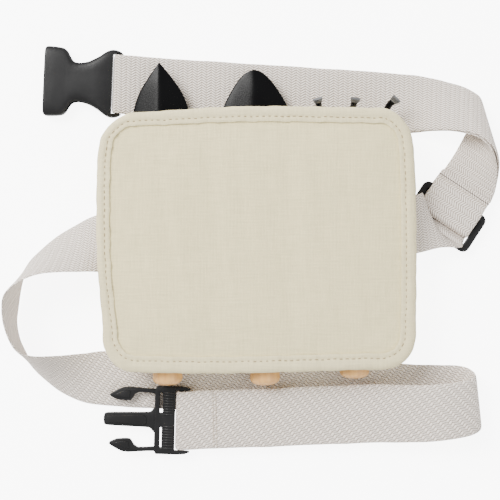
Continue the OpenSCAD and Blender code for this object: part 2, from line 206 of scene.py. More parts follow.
def loft_faces(rings: int, around: int) -> list[Face]:
    """Returns the faces of a closed tube of rings, with both of its ends."""
    faces: list[Face] = [
        (i * around + k, i * around + (k + 1) % around,
         (i + 1) * around + (k + 1) % around, (i + 1) * around + k)
        for i in range(rings - 1)
        for k in range(around)
    ]
    faces.append(tuple(range(around - 1, -1, -1)))
    faces.append(tuple((rings - 1) * around + k for k in range(around)))
    return faces


def loft(name: str, rings: np.ndarray, uv: np.ndarray | None = None) -> bpy.types.Object:
    """Makes a closed object from rings of the same number of points."""
    count, around = rings.shape[:2]
    flat_uv = None if uv is None else uv.reshape(-1, 2)
    return solid(name, rings.reshape(-1, 3), loft_faces(count, around), flat_uv)


def lathe(profile: np.ndarray, sides: int) -> np.ndarray:
    """Turns a profile of [radius, height] rows about Z, into rings for loft."""
    turn = np.linspace(0, 2 * math.pi, sides, endpoint=False)
    ring = np.stack([np.cos(turn), np.sin(turn)], axis=1)
    return np.array([np.column_stack([ring * r, np.full(sides, z)]) for r, z in profile])


def ring_wall(name: str, rings: np.ndarray) -> bpy.types.Object:
    """Makes a closed object from rings where the last joins the first, like a pipe's wall."""
    count, around = rings.shape[:2]
    faces = [
        (i * around + k, i * around + (k + 1) % around,
         (i + 1) % count * around + (k + 1) % around, (i + 1) % count * around + k)
        for i in range(count)
        for k in range(around)
    ]
    return solid(name, rings.reshape(-1, 3), faces)


def joined(name: str, parts: list[bpy.types.Object]) -> bpy.types.Object:
    """Joins several objects into one new one and removes them."""
    work = bmesh.new()
    for part in parts:
        work.from_mesh(part.data)
    mesh = bpy.data.meshes.new(name)
    work.to_mesh(mesh)
    work.free()
    for part in parts:
        bpy.data.objects.remove(part)
    smooth_shading(mesh)
    return new_object(name, mesh)


def applied(obj: bpy.types.Object) -> bpy.types.Object:
    """Turns an object and its modifiers into a plain mesh under the same name."""
    bpy.context.view_layer.update()
    graph = bpy.context.evaluated_depsgraph_get()
    mesh = bpy.data.meshes.new_from_object(obj.evaluated_get(graph))
    name = obj.name
    bpy.data.objects.remove(obj)
    return new_object(name, mesh)


def plate(name: str, outlines: list[np.ndarray], low: float, high: float, edge: float) -> bpy.types.Object:
    """Makes a flat moulded plate with rounded edges.

    Args:
        name: The object's name.
        outlines: Its outline and those of its holes, in millimetres.
        low: The height of its underside.
        high: The height of its top.
        edge: The radius of its edges.

    Returns:
        The plate as a closed mesh.
    """
    curve = bpy.data.curves.new(name, "CURVE")
    curve.dimensions = "2D"
    curve.fill_mode = "BOTH"
    curve.extrude = ((high - low) / 2 - edge) * MM
    curve.bevel_depth = edge * MM
    curve.bevel_resolution = 2
    curve.offset = -edge * MM
    for outline in outlines:
        spline = curve.splines.new("POLY")
        spline.points.add(len(outline) - 1)
        spline.use_cyclic_u = True
        flat = np.zeros((len(outline), 4))
        flat[:, :2] = np.asarray(outline) * MM
        flat[:, 3] = 1
        spline.points.foreach_set("co", flat.ravel())
    maker = new_object(name, curve)
    obj = applied(maker)
    shift = (low + high) / 2 * MM
    for vertex in obj.data.vertices:
        vertex.co.z += shift
    close_up(obj.data, 2e-6)
    smooth_shading(obj.data)
    return obj


def mirrored(half: np.ndarray) -> np.ndarray:
    """Makes half of a symmetric outline whole."""
    other = half[::-1] * np.array([1, -1])
    return np.concatenate([half, other])


def block(low: tuple[float, float, float], high: tuple[float, float, float]) -> bpy.types.Object:
    """Makes a box between two corners in millimetres, used to cut with."""
    xs, ys, zs = zip(low, high)
    points = np.array([[x, y, z] for x in xs for y in ys for z in zs])
    faces = [(0, 1, 3, 2), (4, 6, 7, 5), (0, 4, 5, 1), (2, 3, 7, 6), (0, 2, 6, 4), (1, 5, 7, 3)]
    return solid("cutter", points, faces)


def carved(obj: bpy.types.Object, cutters: list[bpy.types.Object]) -> bpy.types.Object:
    """Cuts the cutters out of an object, and removes them."""
    for cutter in cutters:
        cut = obj.modifiers.new("cut", "BOOLEAN")
        cut.object = cutter
        cut.solver = "EXACT"
    made = applied(obj)
    for cutter in cutters:
        bpy.data.objects.remove(cutter)
    close_up(made.data)
    smooth_shading(made.data)
    return made


def softened(obj: bpy.types.Object, width: float) -> bpy.types.Object:
    """Rounds an object's sharp edges to that width in millimetres."""
    bevel = obj.modifiers.new("edges", "BEVEL")
    bevel.width = width * MM
    bevel.segments = 2
    bevel.limit_method = "ANGLE"
    bevel.angle_limit = math.radians(40)
    made = applied(obj)
    smooth_shading(made.data)
    return made


def moved(obj: bpy.types.Object, place: Callable[[np.ndarray], np.ndarray]) -> bpy.types.Object:
    """Puts an object's points, in millimetres, through a function, and keeps its origin."""
    count = len(obj.data.vertices)
    co = np.empty(count * 3, dtype=np.float64)
    obj.data.vertices.foreach_get("co", co)
    there = place(co.reshape(-1, 3) / MM) * MM
    obj.data.vertices.foreach_set("co", there.ravel())
    obj.data.update()
    return obj


@dataclass(frozen=True)
class Spot:
    """A place and a turn about Z, for pieces that are made around their own origin."""

    at: tuple[float, float, float]
    azimuth: float

    def place(self, points: np.ndarray) -> np.ndarray:
        """Returns points in millimetres, turned and put in place."""
        x, y = heading(self.azimuth)[:2]
        turn = np.array([[x, y, 0], [-y, x, 0], [0, 0, 1]])
        return points @ turn + np.array(self.at)


# ------------------------------------------------------------------ node trees


class NodeWriter:
    """Adds nodes to one tree and joins them, so that a formula reads as nested calls."""

    def __init__(self, tree: bpy.types.NodeTree) -> None:
        """Keeps the tree that it writes to."""
        self.tree = tree

    def node(self, kind: str, inputs: dict[str | int, Any] | None = None, **settings: Any) -> bpy.types.Node:
        """Adds a node.

        Args:
            kind: Its type in Blender.
            inputs: What goes into its sockets: values, or sockets to join.
            settings: Its own settings.

        Returns:
            The node.
        """
        made = self.tree.nodes.new(kind)
        for key, value in settings.items():
            setattr(made, key, value)
        for key, value in (inputs or {}).items():
            self.feed(made.inputs[key], value)
        return made

    def feed(self, socket: Socket, value: Any) -> None:
        """Joins a socket to value, or sets it to value."""
        if isinstance(value, bpy.types.NodeSocket):
            self.tree.links.new(value, socket)
        else:
            socket.default_value = value

    def math(self, operation: str, a: Any, b: Any = 0.0, c: Any = 0.0) -> Socket:
        """Returns the result of one sum."""
        return self.node("ShaderNodeMath", {0: a, 1: b, 2: c}, operation=operation).outputs[0]

    def times(self, a: Any, b: Any) -> Socket:
        """Returns a times b."""
        return self.math("MULTIPLY", a, b)

    def ridges(self, turns: Any, power: float) -> Socket:
        """Returns rounded ridges from 0 to 1, one for each half turn."""
        return self.math("POWER", self.math("ABSOLUTE", self.math("SINE", turns)), power)

    def span(self, value: Any, low: float, high: float, to_low: float = 0.0, to_high: float = 1.0) -> Socket:
        """Returns value with low..high stretched to to_low..to_high, and clamped."""
        sockets = {"Value": value, "From Min": low, "From Max": high, "To Min": to_low, "To Max": to_high}
        return self.node("ShaderNodeMapRange", sockets, clamp=True).outputs["Result"]

    def noise(self, vector: Any, scale: float, detail: float = 2.0, rough: float = 0.5) -> Socket:
        """Returns noise from 0 to 1 around vector."""
        sockets = {"Vector": vector, "Scale": scale, "Detail": detail, "Roughness": rough}
        return self.node("ShaderNodeTexNoise", sockets).outputs["Fac"]

    def blend(self, share: Any, a: Any, b: Any) -> Socket:
        """Returns colour a turned into colour b by share."""
        made = self.node("ShaderNodeMix", data_type="RGBA")
        self.feed(made.inputs["Factor"], share)
        for key, value in (("A", a), ("B", b)):
            colour = value if isinstance(value, bpy.types.NodeSocket) else (*value, 1.0)
            self.feed([s for s in made.inputs if s.name == key and s.type == "RGBA"][0], colour)
        return [s for s in made.outputs if s.type == "RGBA"][0]

    def stretched(self, vector: Any, scale: tuple[float, float, float]) -> Socket:
        """Returns vector scaled along its own axes."""
        return self.node("ShaderNodeMapping", {"Vector": vector, "Scale": scale}).outputs[0]

    def apart(self, vector: Any) -> tuple[Socket, Socket, Socket]:
        """Returns the three parts of a vector."""
        made = self.node("ShaderNodeSeparateXYZ", {0: vector})
        return made.outputs[0], made.outputs[1], made.outputs[2]

    def group(self, tree: bpy.types.NodeTree, inputs: dict[str, Any]) -> bpy.types.Node:
        """Places a node group with its own values."""
        made = self.node("ShaderNodeGroup", node_tree=tree)
        for key, value in inputs.items():
            self.feed(made.inputs[key], value)
        return made


def shader_group(name: str, inputs: dict[str, float | None], outputs: list[str]) -> bpy.types.NodeTree:
    """Makes an empty shader node group.

    Args:
        name: Its name.
        inputs: Each input's name and value. None stands for a vector.
        outputs: The names of its outputs, all values.

    Returns:
        The group's tree.
    """
    tree = bpy.data.node_groups.new(name, "ShaderNodeTree")
    for key, value in inputs.items():
        kind = "NodeSocketVector" if value is None else "NodeSocketFloat"
        made = tree.interface.new_socket(key, in_out="INPUT", socket_type=kind)
        if value is not None:
            made.default_value = value
    for key in outputs:
        tree.interface.new_socket(key, in_out="OUTPUT", socket_type="NodeSocketFloat")
    return tree


@cache
def weave_group() -> bpy.types.NodeTree:
    """Builds the plain weave: threads that pass over and under each other."""
    sizes = {"Vector": None, "Pitch": 0.0007, "Slub": 0.3}
    tree = shader_group("plain_weave", sizes, ["Height", "GapShade", "Thread"])
    w = NodeWriter(tree)
    given = w.node("NodeGroupInput").outputs
    out = w.node("NodeGroupOutput").inputs
    drift = w.noise(given["Vector"], 240.0, 1.0)
    x, y, _ = w.apart(given["Vector"])
    lean = w.times(w.math("SUBTRACT", drift, 0.5), 1.2)
    across = w.math("ADD", w.math("DIVIDE", x, given["Pitch"]), lean)
    along = w.math("ADD", w.math("DIVIDE", y, given["Pitch"]), lean)
    warp = w.ridges(w.times(across, math.pi), 0.8)
    weft = w.ridges(w.times(along, math.pi), 0.8)
    cell = w.math("ADD", w.math("FLOOR", across), w.math("FLOOR", along))
    over = w.math("MODULO", w.math("ABSOLUTE", cell), 2.0)
    warp_up = w.times(warp, w.math("MULTIPLY_ADD", weft, 0.6, 0.4))
    weft_up = w.times(weft, w.math("MULTIPLY_ADD", warp, 0.6, 0.4))
    step = w.times(w.math("SUBTRACT", warp_up, weft_up), over)
    height = w.math("ADD", weft_up, step)
    warp_slub = w.noise(w.stretched(given["Vector"], (900.0, 60.0, 1.0)), 1.0, 1.0)
    weft_slub = w.noise(w.stretched(given["Vector"], (60.0, 900.0, 1.0)), 1.0, 1.0)
    thread = w.times(w.math("ADD", warp_slub, weft_slub), 0.5)
    uneven = w.times(w.math("SUBTRACT", thread, 0.5), given["Slub"])
    w.feed(out["Height"], w.math("ADD", height, uneven))
    # GapShade marks where the threads sink, for painted shade in the gaps between them.
    w.feed(out["GapShade"], w.span(height, 0.0, 0.45, 1.0, 0.0))
    w.feed(out["Thread"], thread)
    return tree


@cache
def zigzag_group() -> bpy.types.NodeTree:
    """Builds the webbing's weave: ribs along the strap that swing from side to side."""
    sizes = {"Vector": None, "Spacing": 0.002, "Period": 0.0062, "Swing": 0.0009, "Pick": 0.0031}
    tree = shader_group("zigzag_weave", sizes, ["Height", "GapShade", "Thread"])
    w = NodeWriter(tree)
    given = w.node("NodeGroupInput").outputs
    out = w.node("NodeGroupOutput").inputs
    u, v, _ = w.apart(given["Vector"])
    wave = w.math("PINGPONG", w.math("DIVIDE", u, given["Period"]), 0.5)
    swing = w.times(w.math("SUBTRACT", w.times(wave, 4.0), 1.0), given["Swing"])
    side = w.math("DIVIDE", w.math("ADD", v, swing), given["Spacing"])
    rib = w.ridges(w.times(side, math.pi), 0.7)
    turn = w.times(w.math("DIVIDE", u, given["Pick"]), math.pi)
    pick = w.ridges(turn, 0.8)
    height = w.times(rib, w.math("MULTIPLY_ADD", pick, 0.5, 0.5))
    w.feed(out["Height"], height)
    # GapShade marks where the ribs sink, for painted shade in the gaps between them.
    w.feed(out["GapShade"], w.span(height, 0.12, 0.72, 1.0, 0.0))
    w.feed(out["Thread"], w.noise(w.stretched(given["Vector"], (90.0, 700.0, 1.0)), 1.0, 2.0))
    return tree


@cache
def mottle_group() -> bpy.types.NodeTree:
    """Builds the unevenness that every surface has: broad patches and a fine grain."""
    sizes = {"Vector": None, "Patch": 40.0, "Grain": 900.0}
    tree = shader_group("uneven_surface", sizes, ["Patches", "Grains"])
    w = NodeWriter(tree)
    given = w.node("NodeGroupInput").outputs
    out = w.node("NodeGroupOutput").inputs
    broad = w.node("ShaderNodeTexNoise", {"Vector": given["Vector"], "Scale": given["Patch"], "Detail": 3.0})
    fine = w.node("ShaderNodeTexNoise", {"Vector": given["Vector"], "Scale": given["Grain"], "Detail": 2.0})
    w.feed(out["Patches"], w.span(broad.outputs["Fac"], 0.3, 0.7))
    w.feed(out["Grains"], fine.outputs["Fac"])
    return tree


# ------------------------------------------------------------------ finishes


@dataclass(frozen=True)
class Finish:
    """A material. Each kind of finish paints its own nodes."""

    name: str
    colour: Colour
    roughness: float = 0.6

    def material(self) -> bpy.types.Material:
        """Returns the material, made the first time it is asked for."""
        if self.name in bpy.data.materials:
            return bpy.data.materials[self.name]
        made = bpy.data.materials.new(self.name)
        made.use_nodes = True
        shader = made.node_tree.nodes["Principled BSDF"]
        shader.inputs["Base Color"].default_value = (*self.colour, 1.0)
        shader.inputs["Roughness"].default_value = self.roughness
        made.diffuse_color = (*self.colour, 1.0)
        self.paint(NodeWriter(made.node_tree), shader.inputs)
        return made

    def paint(self, w: NodeWriter, shader: Any) -> None:
        """Joins the finish's nodes to the shader's inputs."""

    def tint(self, share: float) -> Colour:
        """Returns the finish's colour at a share of its brightness."""
        red, green, blue = self.colour
        return share * red, share * green, share * blue

    @staticmethod
    def uneven(w: NodeWriter, place: Socket, patch: float, grain: float) -> Any:
        """Returns the outputs of the unevenness at that size of patches and grain."""
        return w.group(mottle_group(), {"Vector": place, "Patch": patch, "Grain": grain}).outputs

    def dress(self, obj: bpy.types.Object) -> bpy.types.Object:
        """Gives an object this finish alone."""
        slots = obj.data.materials
        if len(slots):
            for i in range(len(slots)):
                slots[i] = self.material()
        else:
            slots.append(self.material())
        return obj

    @staticmethod
    def place(w: NodeWriter) -> Socket:
        """Returns the object's own coordinates."""
        return w.node("ShaderNodeTexCoord").outputs["Object"]

    @staticmethod
    def cloth_place(w: NodeWriter) -> Socket:
        """Returns the cloth's own coordinates."""
        return w.node("ShaderNodeUVMap", uv_map=UV_NAME).outputs[0]

    @staticmethod
    def relief(w: NodeWriter, shader: Any, height: Any, depth: float, strength: float = 1.0) -> None:
        """Joins a height to the shader's normal, at a depth in metres."""
        sockets = {"Height": height, "Distance": depth, "Strength": strength}
        w.feed(shader["Normal"], w.node("ShaderNodeBump", sockets).outputs[0])


@dataclass(frozen=True)
class CanvasFinish(Finish):
    """Plain woven cotton canvas."""

    shade: Colour = (0.42, 0.34, 0.19)
    pitch: float = 0.0009
    depth: float = 0.00016
    yarn_share: float = 0.75
    worn_share: float = 0.45
    gap_shade_share: float = 0.4

    def paint(self, w: NodeWriter, shader: Any) -> None:
        """Weaves the threads, with painted shade in the gaps between them and uneven yarn."""
        place = self.cloth_place(w)
        weave = w.group(weave_group(), {"Vector": place, "Pitch": self.pitch, "Slub": 0.5}).outputs
        patch = self.uneven(w, place, 22.0, 1500.0)
        yarn = w.span(weave["Thread"], 0.36, 0.64)
        base = w.blend(w.times(yarn, self.yarn_share), self.colour, self.tint(0.8))
        worn = w.blend(w.times(patch["Patches"], self.worn_share), base, self.tint(0.88))
        w.feed(shader["Base Color"], w.blend(w.times(weave["GapShade"], self.gap_shade_share), worn, self.shade))
        rough = w.span(patch["Grains"], 0.3, 0.7, self.roughness - 0.06, self.roughness + 0.06)
        w.feed(shader["Roughness"], rough)
        self.relief(w, shader, weave["Height"], self.depth)
        shader["Sheen Weight"].default_value = 0.12
        shader["Specular IOR Level"].default_value = 0.2


@dataclass(frozen=True)
class WebbingFinish(Finish):
    """Cotton webbing with a zigzag weave."""

    shade: Colour = (0.36, 0.28, 0.22)
    spacing: float = 0.0017
    depth: float = 0.0007
    yarn_share: float = 0.3
    worn_share: float = 0.2
    gap_shade_share: float = 0.95

    def paint(self, w: NodeWriter, shader: Any) -> None:
        """Weaves the zigzag ribs and their shaded gaps."""
        place = self.cloth_place(w)
        weave = w.group(zigzag_group(), {"Vector": place, "Spacing": self.spacing}).outputs
        patch = self.uneven(w, place, 30.0, 2200.0)
        yarn = w.span(weave["Thread"], 0.35, 0.65)
        base = w.blend(w.times(yarn, self.yarn_share), self.colour, self.tint(0.88))
        worn = w.blend(w.times(patch["Patches"], self.worn_share), base, self.tint(0.92))
        w.feed(shader["Base Color"], w.blend(w.times(weave["GapShade"], self.gap_shade_share), worn, self.shade))
        rough = w.span(patch["Grains"], 0.3, 0.7, self.roughness - 0.05, self.roughness + 0.05)
        w.feed(shader["Roughness"], rough)
        self.relief(w, shader, weave["Height"], self.depth)
        shader["Sheen Weight"].default_value = 0.1
        shader["Specular IOR Level"].default_value = 0.25


@dataclass(frozen=True)
class MouldedFinish(Finish):
    """Black moulded plastic with a fine satin texture."""

    specular: float = 0.22

    def paint(self, w: NodeWriter, shader: Any) -> None:
        """Adds the mould's texture and dull patches."""
        uneven = self.uneven(w, self.place(w), 70.0, 2600.0)
        dust = w.times(uneven["Patches"], 0.35)
        w.feed(shader["Base Color"], w.blend(dust, self.colour, self.tint(1.7)))
        rough = w.math("MULTIPLY_ADD", uneven["Patches"], 0.1, self.roughness - 0.05)
        w.feed(shader["Roughness"], rough)
        self.relief(w, shader, uneven["Grains"], 0.00005, 0.8)
        shader["Specular IOR Level"].default_value = self.specular


@dataclass(frozen=True)
class PaintFinish(Finish):
    """Black paint on steel, rubbed through where the piece says it is worn."""

    bare: Colour = (0.16, 0.16, 0.165)
    specular: float = 0.11

    def paint(self, w: NodeWriter, shader: Any) -> None:
        """Adds orange peel, soil-rubbed patches and the bare tips."""
        place = self.place(w)
        uneven = self.uneven(w, place, 60.0, 1200.0)
        wear = w.node("ShaderNodeAttribute", attribute_name=WEAR_NAME).outputs["Fac"]
        rubbed = w.span(w.math("ADD", wear, w.times(uneven["Patches"], 0.25)), 0.55, 0.8)
        dust = w.times(uneven["Patches"], 0.4)
        dusty = w.blend(dust, self.colour, self.tint(1.6))
        w.feed(shader["Base Color"], w.blend(rubbed, dusty, self.bare))
        rough = w.math("MULTIPLY_ADD", uneven["Patches"], 0.12, self.roughness - 0.06)
        w.feed(shader["Roughness"], w.math("MAXIMUM", rough, w.times(rubbed, 0.45)))
        w.feed(shader["Metallic"], w.times(rubbed, 0.7))
        self.relief(w, shader, uneven["Grains"], 0.00004, 0.7)
        shader["Specular IOR Level"].default_value = self.specular


@dataclass(frozen=True)
class WoodFinish(Finish):
    """Light hardwood under clear lacquer, with its grain along the handle."""

    dark: Colour = (0.58, 0.27, 0.08)

    def paint(self, w: NodeWriter, shader: Any) -> None:
        """Draws growth lines and pores along Y."""
        place = self.place(w)
        lines = w.noise(w.stretched(place, (420.0, 16.0, 420.0)), 1.0, 3.0, 0.55)
        pores = w.noise(w.stretched(place, (2600.0, 120.0, 2600.0)), 1.0, 1.0)
        uneven = self.uneven(w, place, 45.0, 1500.0)
        growth = w.span(lines, 0.38, 0.66, 0.0, 0.6)
        base = w.blend(growth, self.colour, self.dark)
        flecked = w.blend(w.span(pores, 0.6, 0.72, 0.0, 0.35), base, self.dark)
        w.feed(shader["Base Color"], w.blend(w.times(uneven["Patches"], 0.18), flecked, self.dark))
        w.feed(shader["Roughness"], w.math("MULTIPLY_ADD", lines, 0.15, self.roughness - 0.07))
        self.relief(w, shader, pores, 0.00006, 0.5)
        shader["Coat Weight"].default_value = 0.25
        shader["Coat Roughness"].default_value = 0.25


@dataclass(frozen=True)
class SteelFinish(Finish):
    """Plain drawn steel with fine turning marks."""

    def paint(self, w: NodeWriter, shader: Any) -> None:
        """Draws the turning marks round the piece."""
        place = self.place(w)
        marks = w.noise(w.stretched(place, (60.0, 5200.0, 60.0)), 1.0, 2.0)
        uneven = self.uneven(w, place, 90.0, 1800.0)
        share = w.times(uneven["Patches"], 0.35)
        dull = w.blend(share, self.colour, self.tint(0.6))
        w.feed(shader["Base Color"], dull)
        w.feed(shader["Roughness"], w.math("MULTIPLY_ADD", marks, 0.25, self.roughness - 0.12))
        self.relief(w, shader, marks, 0.00004, 0.6)
        shader["Metallic"].default_value = 1.0


@dataclass(frozen=True)
class ThreadFinish(Finish):
    """Sewing thread."""

    def paint(self, w: NodeWriter, shader: Any) -> None:
        """Adds a fine twist and uneven shade."""
        place = self.place(w)
        uneven = self.uneven(w, place, 120.0, 4200.0)
        twisted = w.blend(uneven["Grains"], self.colour, self.tint(0.8))
        w.feed(shader["Base Color"], twisted)
        self.relief(w, shader, uneven["Grains"], 0.00012, 0.8)


@dataclass(frozen=True)
class FloorFinish(Finish):
    """A pale, matt studio floor."""

    seen_glow: float = 6.0
    cast_glow: float = 1.0

    def paint(self, w: NodeWriter, shader: Any) -> None:
        """Adds a barely visible unevenness."""
        uneven = self.uneven(w, self.place(w), 3.0, 400.0)
        share = w.times(uneven["Patches"], 0.02)
        seen = w.node("ShaderNodeLightPath").outputs["Is Camera Ray"]
        shader["Emission Color"].default_value = (1.0, 1.0, 1.0, 1.0)
        w.feed(shader["Emission Strength"], w.math("MULTIPLY_ADD", seen, self.seen_glow, self.cast_glow))
        w.feed(shader["Base Color"], w.blend(share, self.colour, self.tint(0.97)))


CANVAS = CanvasFinish("natural_canvas", (0.92, 0.81, 0.46), 0.9)
BINDING_CANVAS = CanvasFinish("binding_canvas", (0.88, 0.78, 0.47), 0.92, pitch=0.0008)
HEM_CANVAS = CanvasFinish("hem_canvas", (0.64, 0.56, 0.37), 0.92, pitch=0.0008)
WEBBING = WebbingFinish("zigzag_webbing", (0.92, 0.835, 0.75), 0.85)
MOULDED = MouldedFinish("moulded_plastic_black", (0.0075, 0.0075, 0.008), 0.36)
PAINT = PaintFinish("black_enamel", (0.0012, 0.0012, 0.0015), 0.26)
WOOD = WoodFinish("lacquered_hardwood", (0.79, 0.45, 0.14), 0.38)
STEEL = SteelFinish("drawn_steel", (0.62, 0.61, 0.58), 0.34)
THREAD = ThreadFinish("sewing_thread", (0.33, 0.24, 0.12), 0.7)
WEB_THREAD = ThreadFinish("webbing_thread", (0.6, 0.51, 0.4), 0.7)
# A lighter copy of the black plastic, for the painted highlight along the plug's ribs.
RIB_HIGHLIGHT_PLASTIC = MouldedFinish("ribbed_plastic_painted_highlight", (0.02, 0.02, 0.021), 0.28)
# Near-black thread for the painted shadow line at the flap's end.
SHADOW_LINE_THREAD = ThreadFinish("painted_shadow_thread", (0.12, 0.09, 0.07), 0.75)
FLOOR = FloorFinish("studio_floor", (0.9, 0.9, 0.9), 0.9)


# ------------------------------------------------------------------ stitches and ribs


class RowMaker:
    """Geometry Nodes trees that set small pieces out along a path."""

    @staticmethod
    def _tree(name: str, sizes: dict[str, float]) -> tuple[bpy.types.NodeTree, NodeWriter]:
        """Returns a new tree with those named sizes and a material as inputs."""
        tree = bpy.data.node_groups.new(name, "GeometryNodeTree")
        face = tree.interface
        face.new_socket("Geometry", in_out="INPUT", socket_type="NodeSocketGeometry")
        for key, value in sizes.items():
            face.new_socket(key, in_out="INPUT", socket_type="NodeSocketFloat").default_value = value
        face.new_socket("Material", in_out="INPUT", socket_type="NodeSocketMaterial")
        face.new_socket("Geometry", in_out="OUTPUT", socket_type="NodeSocketGeometry")
        return tree, NodeWriter(tree)

    @staticmethod
    def _steps(w: NodeWriter, given: Any, axis: str) -> tuple[Socket, Socket]:
        """Returns the even steps along the path, and the turn that lays an axis along it."""
        path = w.node("GeometryNodeMeshToCurve", {"Mesh": given["Geometry"]}).outputs[0]
        even = w.node("GeometryNodeResampleCurve", {"Curve": path})
        if hasattr(even, "mode"):
            even.mode = "LENGTH"
        w.feed(even.inputs["Length"], given["Pitch"])
        along = w.node("GeometryNodeInputTangent").outputs[0]
        turn = w.node("FunctionNodeAlignEulerToVector", {"Vector": along}, axis=axis).outputs[0]
        return even.outputs[0], turn

    @staticmethod
    def _lay(w: NodeWriter, material: Socket, row: dict[str, Socket]) -> None:
        """Sets a piece out along the steps, gives it its material and hands it on."""
        set_out = w.node("GeometryNodeInstanceOnPoints", row)
        real = w.node("GeometryNodeRealizeInstances", {0: set_out.outputs[0]}).outputs[0]
        done = w.node("GeometryNodeSetMaterial", {"Geometry": real, "Material": material}).outputs[0]
        w.feed(w.node("NodeGroupOutput").inputs[0], done)

    @classmethod
    @cache
    def stitches(cls) -> bpy.types.NodeTree:
        """Builds the tree that lays a stitch at every step along a path."""
        sizes = {"Pitch": 0.004, "Length": 0.0028, "Radius": 0.00035, "Uneven": 0.15}
        tree, w = cls._tree("stitch_row", sizes)
        given = w.node("NodeGroupInput").outputs
        steps, turn = cls._steps(w, given, "Z")
        ball = w.node("GeometryNodeMeshUVSphere", {"Segments": 8, "Rings": 6, "Radius": 1.0}).outputs[0]
        low = w.math("SUBTRACT", 1.0, given["Uneven"])
        high = w.math("ADD", 1.0, given["Uneven"])
        chance = w.node("FunctionNodeRandomValue", data_type="FLOAT")
        floats = [s for s in chance.inputs if s.type == "VALUE"]
        w.feed(floats[0], low)
        w.feed(floats[1], high)
        w.feed(chance.inputs["Seed"], 11)
        share = [s for s in chance.outputs if s.type == "VALUE"][0]
        half = w.times(w.times(given["Length"], 0.5), share)
        size = w.node("ShaderNodeCombineXYZ", {0: given["Radius"], 1: given["Radius"], 2: half}).outputs[0]
        cls._lay(w, given["Material"],
                 {"Points": steps, "Instance": ball, "Rotation": turn, "Scale": size})
        return tree

    @classmethod
    @cache
    def ribs(cls) -> bpy.types.NodeTree:
        """Builds the tree that lays a rib across a path at every step."""
        sizes = {"Pitch": 0.0026, "Length": 0.005, "Width": 0.0013, "Height": 0.0014}
        tree, w = cls._tree("rib_row", sizes)
        given = w.node("NodeGroupInput").outputs
        steps, turn = cls._steps(w, given, "Y")
        rod = w.node("GeometryNodeMeshCylinder", {"Vertices": 10, "Radius": 0.5, "Depth": 1.0}).outputs[0]
        quarter = (0.0, math.pi / 2, 0.0)
        lie = w.node("GeometryNodeTransform", {"Geometry": rod, "Rotation": quarter}).outputs[0]
        sides = {0: given["Length"], 1: given["Width"], 2: given["Height"]}
        size = w.node("ShaderNodeCombineXYZ", sides).outputs[0]
        cls._lay(w, given["Material"],
                 {"Points": steps, "Instance": lie, "Rotation": turn, "Scale": size})
        return tree

    @classmethod
    def sew(cls, name: str, paths: list[np.ndarray], thread: Finish, *sizes: float) -> bpy.types.Object:
        """Sews along paths, with stitches of that pitch, length, radius and unevenness."""
        named = dict(zip(("Pitch", "Length", "Radius", "Uneven"), sizes))
        return cls.run(name, paths, cls.stitches(), thread, named)

    @classmethod
    def rib(cls, name: str, paths: list[np.ndarray], finish: Finish, *sizes: float) -> bpy.types.Object:
        """Lays ribs along paths, with that pitch, length, width and height."""
        named = dict(zip(("Pitch", "Length", "Width", "Height"), sizes))
        return cls.run(name, paths, cls.ribs(), finish, named)

    @staticmethod
    def run(name: str, paths: list[np.ndarray], tree: bpy.types.NodeTree, finish: Finish,
            sizes: dict[str, float]) -> bpy.types.Object:
        """Lays a tree's pieces along paths and returns them as one plain mesh.

        Args:
            name: The name of the new object.
            paths: Paths in millimetres.
            tree: The tree that sets the pieces out.
            finish: Their finish.
            sizes: The tree's sizes in millimetres, except those that are shares.

        Returns:
            The object.
        """
        points = np.concatenate(paths) * MM
        joins: list[tuple[int, int]] = []
        first = 0
        for path in paths:
            joins += [(first + i, first + i + 1) for i in range(len(path) - 1)]
            first += len(path)
        mesh = bpy.data.meshes.new(name)
        mesh.from_pydata(points.tolist(), joins, [])
        obj = new_object(name, mesh)
        rows = obj.modifiers.new("row", "NODES")
        rows.node_group = tree
        values: dict[str, Any] = {"Material": finish.material()}
        values |= {key: value if key == "Uneven" else value * MM for key, value in sizes.items()}
        for item in tree.interface.items_tree:
            if item.in_out == "INPUT" and item.name in values:
                rows[item.identifier] = values[item.name]
        made = applied(obj)
        made.data.shade_smooth()
        return made


# ------------------------------------------------------------------ belt webbing

WEB_WIDTH = 38.0
WEB_THICK = 1.6
PLY = WEB_THICK + 0.5
REST = WEB_THICK / 2
BELT_Z = 24.7
WRAP_R = 2.65


def edges(x: float, y: float, z: float, azimuth: float) -> np.ndarray:
    """Returns a strap's two edges around a middle, with its width along azimuth."""
    middle = np.array([x, y, z])
    half = heading(azimuth) * WEB_WIDTH / 2
    return np.array([middle - half, middle + half])


def around_bar(
    bar: tuple[float, float, float], azimuth: float, first: float, last: float
) -> list[np.ndarray]:
    """Returns the stations of a strap that goes round a bar from one angle to another."""
    out = []
    for step in range(6):
        a = math.radians(first + (last - first) * step / 5)
        way = math.cos(a) * heading(azimuth + 90) + np.array([0, 0, math.sin(a)])
        x, y, z = np.array(bar) + WRAP_R * way
        out.append(edges(x, y, z, azimuth))
    return out


def faces_up(route: np.ndarray) -> np.ndarray:
    """Returns the strap's normal at each station."""
    middle = route.sum(axis=1)
    last = len(route) - 1
    ways = [middle[min(i + 1, last)] - middle[max(i - 1, 0)] for i in range(last + 1)]
    return np.array([unit(np.cross(way, edge[1] - edge[0])) for way, edge in zip(ways, route)])


